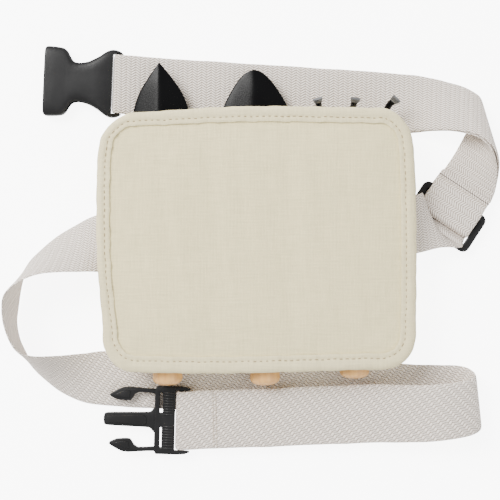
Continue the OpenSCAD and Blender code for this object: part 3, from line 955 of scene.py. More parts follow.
@dataclass
class Slider:
    """The three-bar slider that sets the belt's length."""

    at: tuple[float, float, float] = (126.7, 22.0, 5.1)
    azimuth: float = -33.0
    length: float = 48.2
    play: float = 0.8
    slip: float = 0.2
    width: float = 28.0
    thick: float = 2.4
    corner: float = 4.5
    slot_offset: float = 6.0
    slot_width: float = 7.0

    def station(self, along: float, up: float) -> np.ndarray:
        """Returns a strap's edges at a distance along its travel and above the slider."""
        way = heading(self.azimuth + 90)
        x, y, z = np.array(self.at) + way * along + np.array([0, 0, up])
        return edges(x, y, z, self.azimuth)

    def floor_station(self, along: float) -> np.ndarray:
        """Returns a strap's edges where it lies on the floor below the slider."""
        return self.station(along, REST + 0.1 - self.at[2])

    @staticmethod
    def _rounded(cx: float, cy: float, w: float, h: float, r: float) -> np.ndarray:
        """Returns a rounded rectangle's outline."""
        turns = np.radians(np.arange(0, 91, 15))
        out = []
        for quarter, (sx, sy) in enumerate(((1, 1), (-1, 1), (-1, -1), (1, -1))):
            a = turns + quarter * math.pi / 2
            mid = (cx + sx * (w / 2 - r), cy + sy * (h / 2 - r))
            out.append(np.column_stack([mid[0] + r * np.cos(a), mid[1] + r * np.sin(a)]))
        return np.concatenate(out)

    def build(self) -> list[bpy.types.Object]:
        """Makes the frame with its two slots, and grip ribs on its middle bar."""
        slots = [self._rounded(0, s * self.slot_offset, WEB_WIDTH + self.play, self.slot_width, 1.2)
                 for s in (-1, 1)]
        outer = self._rounded(0, 0, self.length, self.width, self.corner)
        body = plate("strap_slider_frame", [outer, *slots], -self.thick / 2, self.thick / 2, 0.75)
        way = heading(self.azimuth) * self.slip
        spot = Spot((self.at[0] + way[0], self.at[1] + way[1], self.at[2]), self.azimuth)
        moved(body, spot.place)
        MOULDED.dress(body)
        fit(body, "pouch", "moulded_plastic", "strap_slider")
        line = np.array([[x, 0.0, self.thick / 2 - 0.1] for x in np.arange(-17.5, 17.6, 1.0)])
        ribs = RowMaker.rib("strap_slider_ribs", [spot.place(line)], MOULDED, 2.5, 3.2, 0.9, 0.7)
        fit(ribs, "pouch", "moulded_plastic")
        return [body, ribs]


@dataclass
class Strap:
    """A strap of webbing along a ruled route, with rounded selvedges."""

    name: str
    node: str
    route: np.ndarray
    rests_on: list[str] = field(default_factory=lambda: ["studio_floor"])
    steps: int = 7
    across: int = 16
    sway: float = 0.22
    sway_period: float = 46.0
    seed: float = 1.0

    def rings(self) -> tuple[np.ndarray, np.ndarray]:
        """Returns the cross sections of the strap and their cloth coordinates in metres."""
        fine = smooth_path(self.route, self.steps)
        lengths = np.stack([path_lengths(fine[:, k]) for k in (0, 1)], axis=1)
        up = faces_up(fine)
        side = np.array([unit(e[1] - e[0]) for e in fine])
        middle = lengths.mean(axis=1)
        swing = self.sway * ripple(middle, self.sway_period, self.seed)
        fine = fine + side[:, None, :] * swing[:, None, None]
        s = 0.5 - 0.5 * np.cos(np.linspace(0, math.pi, self.across + 1))
        half = WEB_THICK / 2 * np.sqrt(np.clip(1 - np.abs(2 * s - 1) ** 14, 0, 1))
        top = fine[:, 0, None] * (1 - s)[None, :, None] + fine[:, 1, None] * s[None, :, None]
        lift = up[:, None, :] * half[None, :, None]
        upper, lower = top + lift, (top - lift)[:, -2:0:-1]
        u = (lengths[:, :1] * (1 - s) + lengths[:, 1:] * s) * MM
        v = np.broadcast_to(s * WEB_WIDTH * MM, u.shape)
        flat = np.stack([u, v], axis=2)
        return np.concatenate([upper, lower], axis=1), np.concatenate([flat, flat[:, -2:0:-1]], axis=1)

    def length(self) -> float:
        """Returns the strap's length along its middle."""
        middle = smooth_path(self.route, self.steps).mean(axis=1)
        return float(path_lengths(middle)[-1])

    def seam(self, from_end: float, inset: float, lift: float) -> np.ndarray:
        """Returns a line of stitching across the strap.

        Args:
            from_end: The distance from the strap's end.
            inset: How far the line stays from the selvedges.
            lift: How far it is above the strap's middle.

        Returns:
            The line's points.
        """
        fine = smooth_path(self.route, self.steps)
        middle = fine.mean(axis=1)
        lengths = path_lengths(middle)
        up = faces_up(fine)
        at = lengths[-1] - from_end
        pair = np.array([[np.interp(at, lengths, fine[:, k, c]) for c in range(3)] for k in (0, 1)])
        normal = unit(np.array([np.interp(at, lengths, up[:, c]) for c in range(3)]))
        normal = normal if normal[2] > 0 else -normal
        shares = np.linspace(inset / WEB_WIDTH, 1 - inset / WEB_WIDTH, 40)
        return np.array([pair[0] * (1 - s) + pair[1] * s + normal * lift for s in shares])

    def build(self) -> bpy.types.Object:
        rings, uv = self.rings()
        strap = loft(self.name, rings, uv)
        WEBBING.dress(strap)
        fit(strap, "pouch", "webbing", self.node)
        flat = (WEB_WIDTH * MM, self.length() * MM)
        return strap


def left_route(bar: tuple[float, float, float], azimuth: float) -> np.ndarray:
    """Returns the left strap's stations: a wide turn on edge, a flat run, a roll, and the plug.

    Args:
        bar: The middle of the plug's strap bar.
        azimuth: The direction of that bar.

    Returns:
        The stations, each with its two edge points.
    """
    turn = [
        [[-89.5, -14, 24.3], [-91, 23.4, 22]],
        [[-98, -14, 23.6], [-101, 22.5, 15]], [[-109, -14, 29], [-114, 17, 6]],
        [[-123, -14, 33], [-128, 9, 2.5]], [[-134, -15, 36], [-139.5, -0.5, 1]],
        [[-143, -18, 37], [-146.5, -8, 1]], [[-151, -23, 37.5], [-149.8, -15.5, 1]],
        [[-156, -29, 38], [-152.3, -26, 1]], [[-157, -37, 38], [-154, -38, 1]],
        [[-156, -46, 38], [-155, -48, 1]], [[-153, -55, 38], [-153, -59, 1]],
        [[-149, -62, 37.5], [-149, -68, 1]], [[-144, -66, 34], [-145, -76, 1]],
        [[-136, -68, 27], [-138, -84, 1]], [[-122, -68, 15], [-126, -93.5, 1]],
        [[-109, -67.5, 6], [-112, -100, 1]], [[-97, -66.5, 2.2], [-97, -102.5, 1]],
    ]
    roll = [
        [[134, -76, 1.8], [136, -114, 1.5]], [[140.5, -77, 4], [143.5, -114.5, 3.5]],
        [[144, -79, 8], [147.5, -115, 7]], [[144.5, -81, 13], [148.5, -116, 12]],
        [[141, -83, 17.5], [145, -118, 16.5]], [[133, -85, 19.5], [137, -120.5, 19]],
        [[121, -86.5, 19], [122, -123, 18.5]], [[104, -87.5, 15], [105, -124.5, 14.5]],
    ]
    return np.array([
        edges(-62, 5, BELT_Z - 0.2, 90), edges(-81, 5, BELT_Z - 0.4, 91), *turn,
        edges(-67, -85.3, REST, -90), edges(0, -88.8, REST, -92), edges(60, -92, REST, -92),
        edges(96, -93.8, REST, -91), edges(121, -94.8, REST + 0.2, -90), *roll,
        edges(80, -106.5, 10.5, -90), edges(45, -108, 8.4, -89), edges(5, -109.8, 7.8, -88.5),
        edges(-28, -110.8, 7.8, -89), *around_bar(bar, azimuth, 80, 280),
        edges(-38, -111.2, bar[2] - WRAP_R + 0.6, -90.5), edges(-30, -110.8, 7.8 - PLY, -89),
        edges(-18, -110.4, 7.8 - PLY, -88.7),
    ])


def right_route(slider: Slider, bar: tuple[float, float, float], azimuth: float) -> np.ndarray:
    """Returns the right strap's stations: through the slider, over a fold, round the socket's bar and back.

    Args:
        slider: The slider that both ends of the strap go through.
        bar: The middle of the socket's strap bar.
        azimuth: The direction of that bar.

    Returns:
        The stations, each with its two edge points.
    """
    fold = np.array([
        [[126, 52.5, 1], [157, 31.5, 2]], [[132, 61, 1], [159, 38, 6]],
        [[139, 72, 1], [159.5, 46, 12]], [[146, 85, 1], [159.3, 52, 17]],
        [[149.5, 93, 2], [158.5, 56, 21]], [[150, 98, 4.2], [156.5, 60.5, 25]],
        [[147.5, 101.5, 6.4], [152.5, 66.5, 27]], [[139, 106.5, 6.6], [144, 73.5, 26]],
        [[128, 110, 5.6], [131, 77, 20]], [[117, 112.8, 4.4], [118, 77.8, 13]],
    ])
    top = np.array([
        edges(97, 96.8, REST + PLY + 0.3, -90), edges(51, 100.1, REST + PLY, -91),
        edges(-1, 103.4, REST + PLY, -92), edges(-47, 106.3, REST + PLY, -92),
    ])
    inner_top = top[::-1] - np.array([0, 1, PLY])
    inner_fold = (fold - faces_up(fold)[:, None, :] * PLY)[::-1]
    into = [slider.station(*at) for at in ((-12, 3.6), (-9.3, 3), (-7.2, -0.5), (-4.5, -3.7))]
    back = [slider.station(*at) for at in (
        (12, 3.3), (8.4, 1.8), (5, -1.2), (1.2, -2.25), (-2.5, -2.2), (-4.2, 0.1), (-2.6, 2.5),
        (0, 3.3), (6, 4.6), (13, 5.2), (24, 2.2))]
    return np.array([
        edges(76, 15.4, BELT_Z - 0.3, -84), edges(92, 17, BELT_Z - 0.6, -82),
        [[105, 35.5, 21], [106, -2, 19]], [[110.5, 36.5, 12], [122, 1.5, 14]],
        *into, slider.floor_station(0), slider.floor_station(12), edges(141, 42, REST, -35),
        *fold, *top, edges(-72, 107.7, 5, -92.5), *around_bar(bar, azimuth, 85, 275),
        edges(-76, 107.9, REST + 0.3, -92.5), *inner_top, *inner_fold,
        edges(141, 42, REST + PLY, -35), *back,
    ])


@dataclass
class Belt:
    """Both straps, the slider and the stitching on the webbing."""

    slider: Slider = field(default_factory=Slider)
    socket_bar: tuple[float, float, float] = (-87.9, 108.8, 4.9)
    socket_azimuth: float = -92.5
    plug_bar: tuple[float, float, float] = (-46.7, -111.6, 5.6)
    plug_azimuth: float = -91.5

    def build(self) -> list[bpy.types.Object]:
        """Makes the straps, sews them and adds the slider."""
        left = Strap("left_webbing", "left_strap", left_route(self.plug_bar, self.plug_azimuth), seed=0.7)
        right = Strap("right_webbing", "right_strap",
                      right_route(self.slider, self.socket_bar, self.socket_azimuth), seed=2.9)
        made = [left.build(), right.build()]
        over = WEB_THICK / 2 + 0.08
        rows = [right.seam(from_end=5.2, inset=2.2, lift=over)]
        rows += [left.seam(from_end=at, inset=2.2, lift=over + PLY) for at in (5.5, 7.4)]
        stitches = RowMaker.sew("webbing_stitches", rows, WEB_THREAD, 2.4, 2.0, 0.3, 0.12)
        fit(stitches, "pouch", "webbing")
        # A near-black thread line across the flap near its end: painted shadow where the flap's end steps
        # down onto the strap below.
        end = right.seam(from_end=3.0, inset=0.6, lift=over - 0.05)
        shadow_line = RowMaker.sew("flap_end_painted_shadow", [end], SHADOW_LINE_THREAD, 2.0, 2.1, 0.36, 0.08)
        fit(shadow_line, "pouch", "webbing")
        return [*made, stitches, shadow_line, *self.slider.build()]


# ------------------------------------------------------------------ pouch


@dataclass(frozen=True)
class Pull:
    """A place where sewing has drawn the panel's outline in or out."""

    at: tuple[float, float]
    by: tuple[float, float]
    reach: float


@dataclass
class PaddedPanel:
    """The padded panel with its bound edge."""

    width: float = 202.0
    height: float = 168.0
    corner: float = 22.0
    middle: tuple[float, float] = (2.7, 6.4)
    tape_width: float = 10.0
    tape_thick: float = 0.9
    low: float = 24.6
    high: float = 31.8
    tuck: float = 2.4
    canvas: float = 1.2
    front_gap: float = 0.12
    puff_frames: int = 16
    puff_cap: float = 0.9
    drift_cap: float = 0.4
    stitch_inset: float = 6.8
    stitch_pitch: float = 4.0
    crown: float = 1.3
    mouth_middle: float = 10.0
    mouth_half: float = 27.0
    narrow_left: tuple[float, float] = (-98.0, 45.0)
    wide_below: tuple[float, float] = (-78.0, 30.0)
    fold_r: float = 3.6
    fold_middle_r: float = 3.3
    pulls: tuple[Pull, ...] = (
        Pull((-98, -56), (3.4, 0.4), 34),
        Pull((-94, 86), (2.8, -2.6), 20),
        Pull((-98, 20), (-0.8, 0.0), 50),
        Pull((-66, 92), (0.0, -2.2), 30),
        Pull((104, 82), (-2.4, -0.4), 22),
        Pull((12, 92), (0.0, 1.0), 44),
        Pull((-30, -78), (0.0, -0.9), 46),
        Pull((78, -78), (0.0, 1.5), 40),
        Pull((104, -10), (0.7, 0.0), 50),
    )

    def sewn(self, points: np.ndarray) -> np.ndarray:
        """Draws points in millimetres the way that the sewing has drawn the panel."""
        out = np.array(points, dtype=float)
        for pull in self.pulls:
            away = (points[:, 0] - pull.at[0]) ** 2 + (points[:, 1] - pull.at[1]) ** 2
            share = np.exp(-away / pull.reach**2)
            out[:, 0] += pull.by[0] * share
            out[:, 1] += pull.by[1] * share
        return out

    def inset(self, x: np.ndarray, y: np.ndarray) -> np.ndarray:
        """Returns how far inside the panel's outline each place is."""
        qx = np.abs(x - self.middle[0]) - (self.width / 2 - self.corner)
        qy = np.abs(y - self.middle[1]) - (self.height / 2 - self.corner)
        outside = np.hypot(np.maximum(qx, 0), np.maximum(qy, 0))
        return self.corner - outside - np.minimum(np.maximum(qx, qy), 0)

    def outline(self, spacing: float) -> tuple[np.ndarray, np.ndarray, np.ndarray]:
        """Walks round the panel's outline.

        Args:
            spacing: The distance between places.

        Returns:
            The places, the directions inwards, and the distances walked.
        """
        places, inward = [], []
        hx, hy = self.width / 2 - self.corner, self.height / 2 - self.corner
        corners = ((hx, hy, 0), (-hx, hy, 90), (-hx, -hy, 180), (hx, -hy, 270))
        arc = max(4, round(self.corner * math.pi / 2 / spacing))
        for i, (cx, cy, start) in enumerate(corners):
            for k in range(arc):
                way = heading(start + 90 * k / arc)[:2]
                places.append(np.array([cx, cy]) + self.corner * way)
                inward.append(-way)
            nx, ny, _ = corners[(i + 1) % 4]
            way = heading(start + 90)[:2]
            begin = np.array([cx, cy]) + self.corner * way
            end = np.array([nx, ny]) + self.corner * way
            count = max(2, round(float(np.linalg.norm(end - begin)) / spacing))
            for k in range(count):
                places.append(begin + (end - begin) * k / count)
                inward.append(-way)
        spots = np.array(places) + np.array(self.middle)
        walked = path_lengths(np.vstack([spots, spots[:1]]))[:-1]
        return spots, np.array(inward), walked

    def _sheet(self, cells: tuple[int, int]) -> np.ndarray:
        """Returns a grid of places over the tucked panel, with its corners rounded."""
        hw, hh = self.width / 2 - self.tuck, self.height / 2 - self.tuck
        r = self.corner - self.tuck
        columns, rows = np.linspace(-hw, hw, cells[0] + 1), np.linspace(-hh, hh, cells[1] + 1)
        x, y = np.meshgrid(columns, rows, indexing="ij")
        a, b = np.clip((np.abs(x) - (hw - r)) / r, 0, 1), np.clip((np.abs(y) - (hh - r)) / r, 0, 1)
        round_x = (hw - r) + r * a * np.sqrt(1 - b * b / 2)
        round_y = (hh - r) + r * b * np.sqrt(1 - a * a / 2)
        x = np.where(a > 0, np.sign(x) * round_x, x)
        y = np.where(b > 0, np.sign(y) * round_y, y)
        return np.stack([x + self.middle[0], y + self.middle[1]], axis=2)

    @staticmethod
    def _pillow(name: str, flat: np.ndarray, top: np.ndarray, bottom: np.ndarray) -> bpy.types.Object:
        """Makes a closed shell from a grid of places and the heights of its two faces."""
        nx, ny = flat.shape[:2]
        upper = np.dstack([flat, top]).reshape(-1, 3)
        lower = np.dstack([flat, bottom]).reshape(-1, 3)
        count = nx * ny
        faces: list[Face] = []
        for i in range(nx - 1):
            for j in range(ny - 1):
                a, b, c, d = i * ny + j, (i + 1) * ny + j, (i + 1) * ny + j + 1, i * ny + j + 1
                faces += [(a, b, c, d), (count + d, count + c, count + b, count + a)]
        rim = [i * ny for i in range(nx)] + [(nx - 1) * ny + j for j in range(1, ny)]
        rim += [i * ny + ny - 1 for i in range(nx - 2, -1, -1)] + [j for j in range(ny - 2, 0, -1)]
        for a, b in zip(rim, rim[1:] + rim[:1]):
            faces.append((a, count + a, count + b, b))
        points = np.concatenate([upper, lower])
        return solid(name, points, faces, points[:, :2] * MM)

    def _folds(self, x: np.ndarray, y: np.ndarray) -> np.ndarray:
        """Returns the soft folds that run down the panel over the tools, and its quiet dents."""
        lean = x + 0.05 * (y - self.middle[1])
        folds = 0.75 * ripple(lean, 44.0, 1.9) + 0.3 * ripple(lean + 0.1 * y, 17.0, 5.1)
        dents = 0.4 * ripple(y + 0.3 * x, 63.0, 0.8) + 0.12 * ripple(y - 0.2 * x, 14.0, 2.4)
        return folds + dents

    def _back(self) -> bpy.types.Object:
        """Makes the padded back, puffed up between its seams."""
        flat = self._sheet((84, 70))
        x, y = flat[:, :, 0], flat[:, :, 1]
        d = self.inset(x, y)
        floor, roof = self.low + self.tape_thick + 1.5, self.high - self.tape_thick - 0.25
        rim = np.clip((d - self.tuck) / 3.2, 0, 1)
        top = floor + 2.0 + (roof - floor - 2.0) * np.sqrt(1 - (1 - rim) ** 2)
        grown = np.clip((d - self.tape_width - 0.6) / 26.0, 0, 1)
        ease = eased(grown)
        seam = bump(d, self.tape_width + 0.9, 1.5)
        off_x = np.abs(x - self.middle[0]) / self.width
        off_y = np.abs(y - self.middle[1]) / self.height
        along = np.where(off_x > off_y, y, x)
        pucker = bump(d, self.tape_width + 3.4, 3.4) * ripple(along, 7.5, 2.2)
        top += self.crown * ease + ease * self._folds(x, y) * 0.8 - 0.45 * seam + 0.22 * pucker
        obj = self._pillow("padded_back", flat, top, np.full_like(top, floor + 0.1))
        obj = self._puffed(obj)
        return obj

    def _puffed(self, obj: bpy.types.Object) -> bpy.types.Object:
        """Lets cloth under light pressure settle between the seams, within its caps."""
        count = len(obj.data.vertices)
        rest = np.empty(count * 3)
        obj.data.vertices.foreach_get("co", rest)
        rest = rest.reshape(-1, 3) / MM
        d = self.inset(rest[:, 0], rest[:, 1])
        held = (d < self.tape_width + 0.8) | (rest[:, 2] < self.high - 3.0)
        pinned = obj.vertex_groups.new(name="sewn")
        pinned.add([int(i) for i in np.flatnonzero(held)], 1.0, "REPLACE")
        cloth = obj.modifiers.new("cloth", "CLOTH")
        settings = {"quality": 5, "mass": 0.3, "tension_stiffness": 20, "bending_stiffness": 0.25,
                    "shrink_min": -0.006, "use_pressure": True, "uniform_pressure_force": 2.0,
                    "vertex_group_mass": pinned.name}
        for key, value in settings.items():
            setattr(cloth.settings, key, value)
        cloth.settings.effector_weights.gravity = 0.0
        for frame_number in range(1, self.puff_frames + 1):
            bpy.context.scene.frame_set(frame_number)
        graph = bpy.context.evaluated_depsgraph_get()
        puffed = np.empty(count * 3)
        obj.evaluated_get(graph).data.vertices.foreach_get("co", puffed)
        move = puffed.reshape(-1, 3) / MM - rest
        obj.modifiers.clear()
        bpy.context.scene.frame_set(1)
        move[:, :2] = np.clip(move[:, :2], -self.drift_cap, self.drift_cap)
        lift = move[:, 2]
        lift *= min(1.0, self.puff_cap / max(float(np.abs(lift).max()), 1e-6))
        LOG.info("the padded back rose by up to %.2f mm", float(lift.max()))
        return moved(obj, lambda points: points + move)

    def _front(self) -> bpy.types.Object:
        """Makes the canvas on the other face, above the belt."""
        flat = self._sheet((60, 50))
        base = np.full(flat.shape[:2], self.low + self.tape_thick + self.front_gap)
        return self._pillow("front_canvas", flat, base + self.canvas, base)

    def _skin(self, radius: float, lip: float, reach: float) -> np.ndarray:
        """Returns one skin of the binding's section, from its upper lip to its lower one.

        Args:
            radius: The radius round the panel's edge.
            lip: How far the upper lip reaches inwards.
            reach: How far the lower lip reaches, in millimetres from the edge's middle.

        Returns:
            Rows of distance inwards and height.
        """
        outer = (self.high - self.low) / 2
        mid = (self.low + self.high) / 2
        top = [(d, mid + radius) for d in np.linspace(lip, outer, 13)]
        bend = [(outer - radius * math.cos(a), mid + radius * math.sin(a))
                for a in np.linspace(math.pi / 2, 0, 7)[1:]]
        under = [(outer - radius * math.cos(a), mid - radius * math.sin(a))
                 for a in np.linspace(0, math.pi / 2, 12)[1:]]
        under += [(d, mid - radius) for d in np.linspace(outer, self.tape_width, 12)[1:]]
        below = np.array([bend[-1], *under])
        lengths = path_lengths(below)
        stops = np.linspace(0, min(reach, lengths[-1]), 14)[1:]
        lower = [(np.interp(s, lengths, below[:, 0]), np.interp(s, lengths, below[:, 1])) for s in stops]
        return np.array([*top, *bend, *lower])

    def _lift(self, d: np.ndarray, walked: float, seam: float) -> np.ndarray:
        """Returns how far the binding's upper lip stands above or below its plain height.

        Args:
            d: The distances inwards.
            walked: The distance walked round the panel.
            seam: How far inwards the row of stitches is.

        Returns:
            The lift at each distance.
        """
        drawn = bump(d, seam, 1.0) * (0.38 + 0.2 * math.cos(2 * math.pi * walked / self.stitch_pitch))
        wave = 0.22 * ripple(walked, 13.0, 4.4) * bump(d, 8.5, 3.0) + 0.2 * ripple(walked, 31.0, 0.6)
        edge = 0.35 * np.clip((d - seam - 2.4) / 1.0, 0, 1)
        return 0.18 * bump(d, 4.2, 1.8) - drawn + wave * np.clip((d - 2.0) / 3.0, 0, 1) - edge

    def _lip(self, spot: np.ndarray, walked: float) -> float:
        """Returns how far the binding reaches inwards, which is less at the left and more below."""
        left = float(bump(spot[0], *self.narrow_left))
        below = float(bump(spot[1], *self.wide_below))
        wide = self.tape_width - 1.3 * left * (1 - below) + 0.9 * below
        return wide + 0.3 * float(ripple(walked, 19.0, 1.1)) + 0.12 * float(ripple(walked, 4.1, 3.0))

    def _binding(self) -> bpy.types.Object:
        """Makes the tape folded round the edge, open below where the straps come out."""
        spots, inward, walked = self.outline(1.0)
        outer = (self.high - self.low) / 2
        rings = []
        for spot, way, at in zip(spots, inward, walked):
            side = abs(way[0]) > 0.99
            near = abs(spot[1] - self.mouth_middle) - self.mouth_half
            open_share = float(np.clip((near + 4) / 4, 0, 1)) if side else 1.0
            reach = 2.3 + (outer * math.pi / 2 + self.tape_width - outer - 2.3) * open_share
            lip = self._lip(spot, at)
            skins = []
            for radius in (outer, outer - self.tape_thick):
                skin = self._skin(radius, lip if radius == outer else lip - 0.1, reach)
                seam = self.stitch_inset + lip - self.tape_width
                shift = self._lift(skin[:, 0], at, seam) * (skin[:, 1] > (self.low + self.high) / 2)
                skin[:, 1] += shift
                push = 0.25 * ripple(at, 23.0, 2.6) * np.clip((6 - skin[:, 0]) / 4, 0, 1)
                skin[:, 0] += push
                skins.append(skin)
            loop = np.concatenate([skins[0], skins[1][::-1]])
            ring = np.column_stack([spot + loop[:, :1] * way, loop[:, 1]])
            rings.append(self.sewn(ring))
        obj = ring_wall("binding_tape", np.array(rings))
        self._tape_cloth(obj)
        return obj

    def _tape_cloth(self, obj: bpy.types.Object) -> None:
        """Lays the cloth's own coordinates flat over the binding, turned to its nearest edge."""
        mesh = obj.data
        layer = mesh.uv_layers.new(name=UV_NAME)
        for polygon in mesh.polygons:
            nx, ny, nz = polygon.normal
            for corner in polygon.loop_indices:
                x, y, z = mesh.vertices[mesh.loops[corner].vertex_index].co
                if abs(nz) > 0.6:
                    layer.data[corner].uv = (x, y)
                elif abs(nx) > abs(ny):
                    layer.data[corner].uv = (z, y)
                else:
                    layer.data[corner].uv = (x, z)

    def _stitches(self) -> bpy.types.Object:
        """Sews the binding down with one row of stitches on the back and one on the front."""
        spots, inward, walked = self.outline(1.0)
        rows, top = [], []
        for spot, way, at in zip(spots, inward, walked):
            inset = self.stitch_inset + self._lip(spot, at) - self.tape_width
            lift = float(self._lift(np.array([inset]), at, inset)[0])
            top.append([*(spot + way * inset), self.high + lift + 0.02])
        rows.append(self.sewn(np.array([*top, top[0]])))
        below = [[*(spot + way * self.stitch_inset), self.low + 0.02] for spot, way in zip(spots, inward)
                 if abs(way[0]) < 0.99 or abs(spot[1] - self.mouth_middle) > self.mouth_half + 3]
        pieces = np.array([*below, below[0]])
        breaks = np.flatnonzero(np.linalg.norm(np.diff(pieces[:, :2], axis=0), axis=1) > 5.0)
        for part in np.split(pieces, breaks + 1):
            if len(part) > 3:
                rows.append(self.sewn(part))
        return RowMaker.sew("binding_stitches", rows, THREAD, self.stitch_pitch, 2.3, 0.32, 0.2)

    def build(self) -> list[bpy.types.Object]:
        back = moved(CANVAS.dress(self._back()), self.sewn)
        fit(back, "pouch", "canvas", "back_panel", "panel_padding")
        front = moved(CANVAS.dress(self._front()), self.sewn)
        fit(front, "pouch", "canvas", "front_panel")
        tape = BINDING_CANVAS.dress(self._binding())
        fit(tape, "pouch", "canvas", "panel_binding")
        stitches = self._stitches()
        fit(stitches, "pouch", "canvas")
        return [back, front, tape, stitches]


@dataclass
class Pocket:
    """One length of canvas that forms three sleeves below the belt, with hemmed mouths."""

    centres: tuple[float, float, float] = (-56.4, 6.2, 65.9)
    inner: float = 13.0
    middle_z: float = 16.0
    top: float = 23.5
    canvas: float = 1.2
    foot: float = -76.0
    length: float = 101.0
    overhang: float = 4.0
    hem: float = 8.0
    bend: float = 2.2

    def _channel(self, centre: float, radius: float, top: float) -> np.ndarray:
        """Returns one sleeve's section, from its left wall's top to its right one's."""
        turns = np.radians(np.linspace(180, 360, 25))
        bowl = np.column_stack([centre + radius * np.cos(turns), self.middle_z + radius * np.sin(turns)])
        left = [[centre - radius, z] for z in np.linspace(top, self.middle_z, 5)[:-1]]
        right = [[centre + radius, z] for z in np.linspace(self.middle_z, top, 5)[1:]]
        return np.array([*left, *bowl, *right])

    def _section(self) -> np.ndarray:
        """Returns the middle line of the whole pocket's section."""
        r = self.inner + self.canvas / 2
        web = self.top - self.canvas / 2
        line: list[Any] = [[self.centres[0] - r - self.overhang, web]]
        for centre in self.centres:
            line += [[centre - r - self.bend, web], [centre - r - 0.5, web - 0.5]]
            line += list(self._channel(centre, r, web - self.bend))
            line += [[centre + r + 0.5, web - 0.5], [centre + r + self.bend, web]]
        line.append([self.centres[-1] + r + self.overhang, web])
        return smooth_path(np.array(line), 2)

    def build(self) -> list[bpy.types.Object]:
        """Makes the pocket and the hems of its mouths."""
        line = self._section()
        out = outward(line)
        walked = path_lengths(line)
        rings, cloth = [], []
        for y in np.linspace(self.foot, self.foot + self.length, 36):
            ease = np.clip((self.top - 2.0 - line[:, 1]) / 6, 0, 1)
            sway = (0.22 * ripple(walked + 0.6 * y, 29.0, 1.2) * ease)[:, None] * out
            sides = [line + sway + s * self.canvas / 2 * out for s in (1, -1)]
            loop = np.concatenate([sides[0], sides[1][::-1]])
            rings.append(np.column_stack([loop[:, 0], np.full(len(loop), y), loop[:, 1]]))
            u = np.concatenate([walked, walked[::-1]]) * MM
            cloth.append(np.column_stack([u, np.full(len(u), y * MM)]))
        pocket = loft("tool_pocket_canvas", np.array(rings), np.array(cloth))
        CANVAS.dress(pocket)
        fit(pocket, "pouch", "canvas", "tool_pocket")
        hems = self._hems()
        return [pocket, *hems]

    def _hems(self) -> list[bpy.types.Object]:
        """Makes the folded hem round each sleeve's mouth, and sews it."""
        radius = self.inner + self.canvas + 0.46
        low, high = self.foot + self.length - self.hem, self.foot + self.length + 0.8
        parts, rows = [], []
        for centre in self.centres:
            line = smooth_path(self._channel(centre, radius, self.top - self.canvas - 0.3), 2)
            out = -outward(line)
            turns = np.linspace(0, 2 * math.pi, 20, endpoint=False)
            wide = (high - low) / 2
            across = (low + high) / 2 + wide * squared_off(np.cos(turns), 0.3)
            deep = 0.4 * squared_off(np.sin(turns), 0.5)
            walked = path_lengths(line)
            rings = np.array([
                [[p[0] + o[0] * h, y, p[1] + o[1] * h] for y, h in zip(across, deep)]
                for p, o in zip(line, out)])
            cloth = np.array([[[s * MM, y * MM] for y in across] for s in walked])
            parts.append(loft("hem", rings, cloth))
            for y in (low + 1.2, high - 1.6):
                seam = line + out * 0.42
                rows.append(np.column_stack([seam[:, 0], np.full(len(seam), y), seam[:, 1]]))
        hems = HEM_CANVAS.dress(joined("pocket_hem_tape", parts))
        fit(hems, "pouch", "canvas", "pocket_hem")
        stitches = RowMaker.sew("hem_stitches", rows, THREAD, 3.4, 2.4, 0.28, 0.12)
        fit(stitches, "pouch", "canvas")
        return [hems, stitches]


# ------------------------------------------------------------------ hand tools


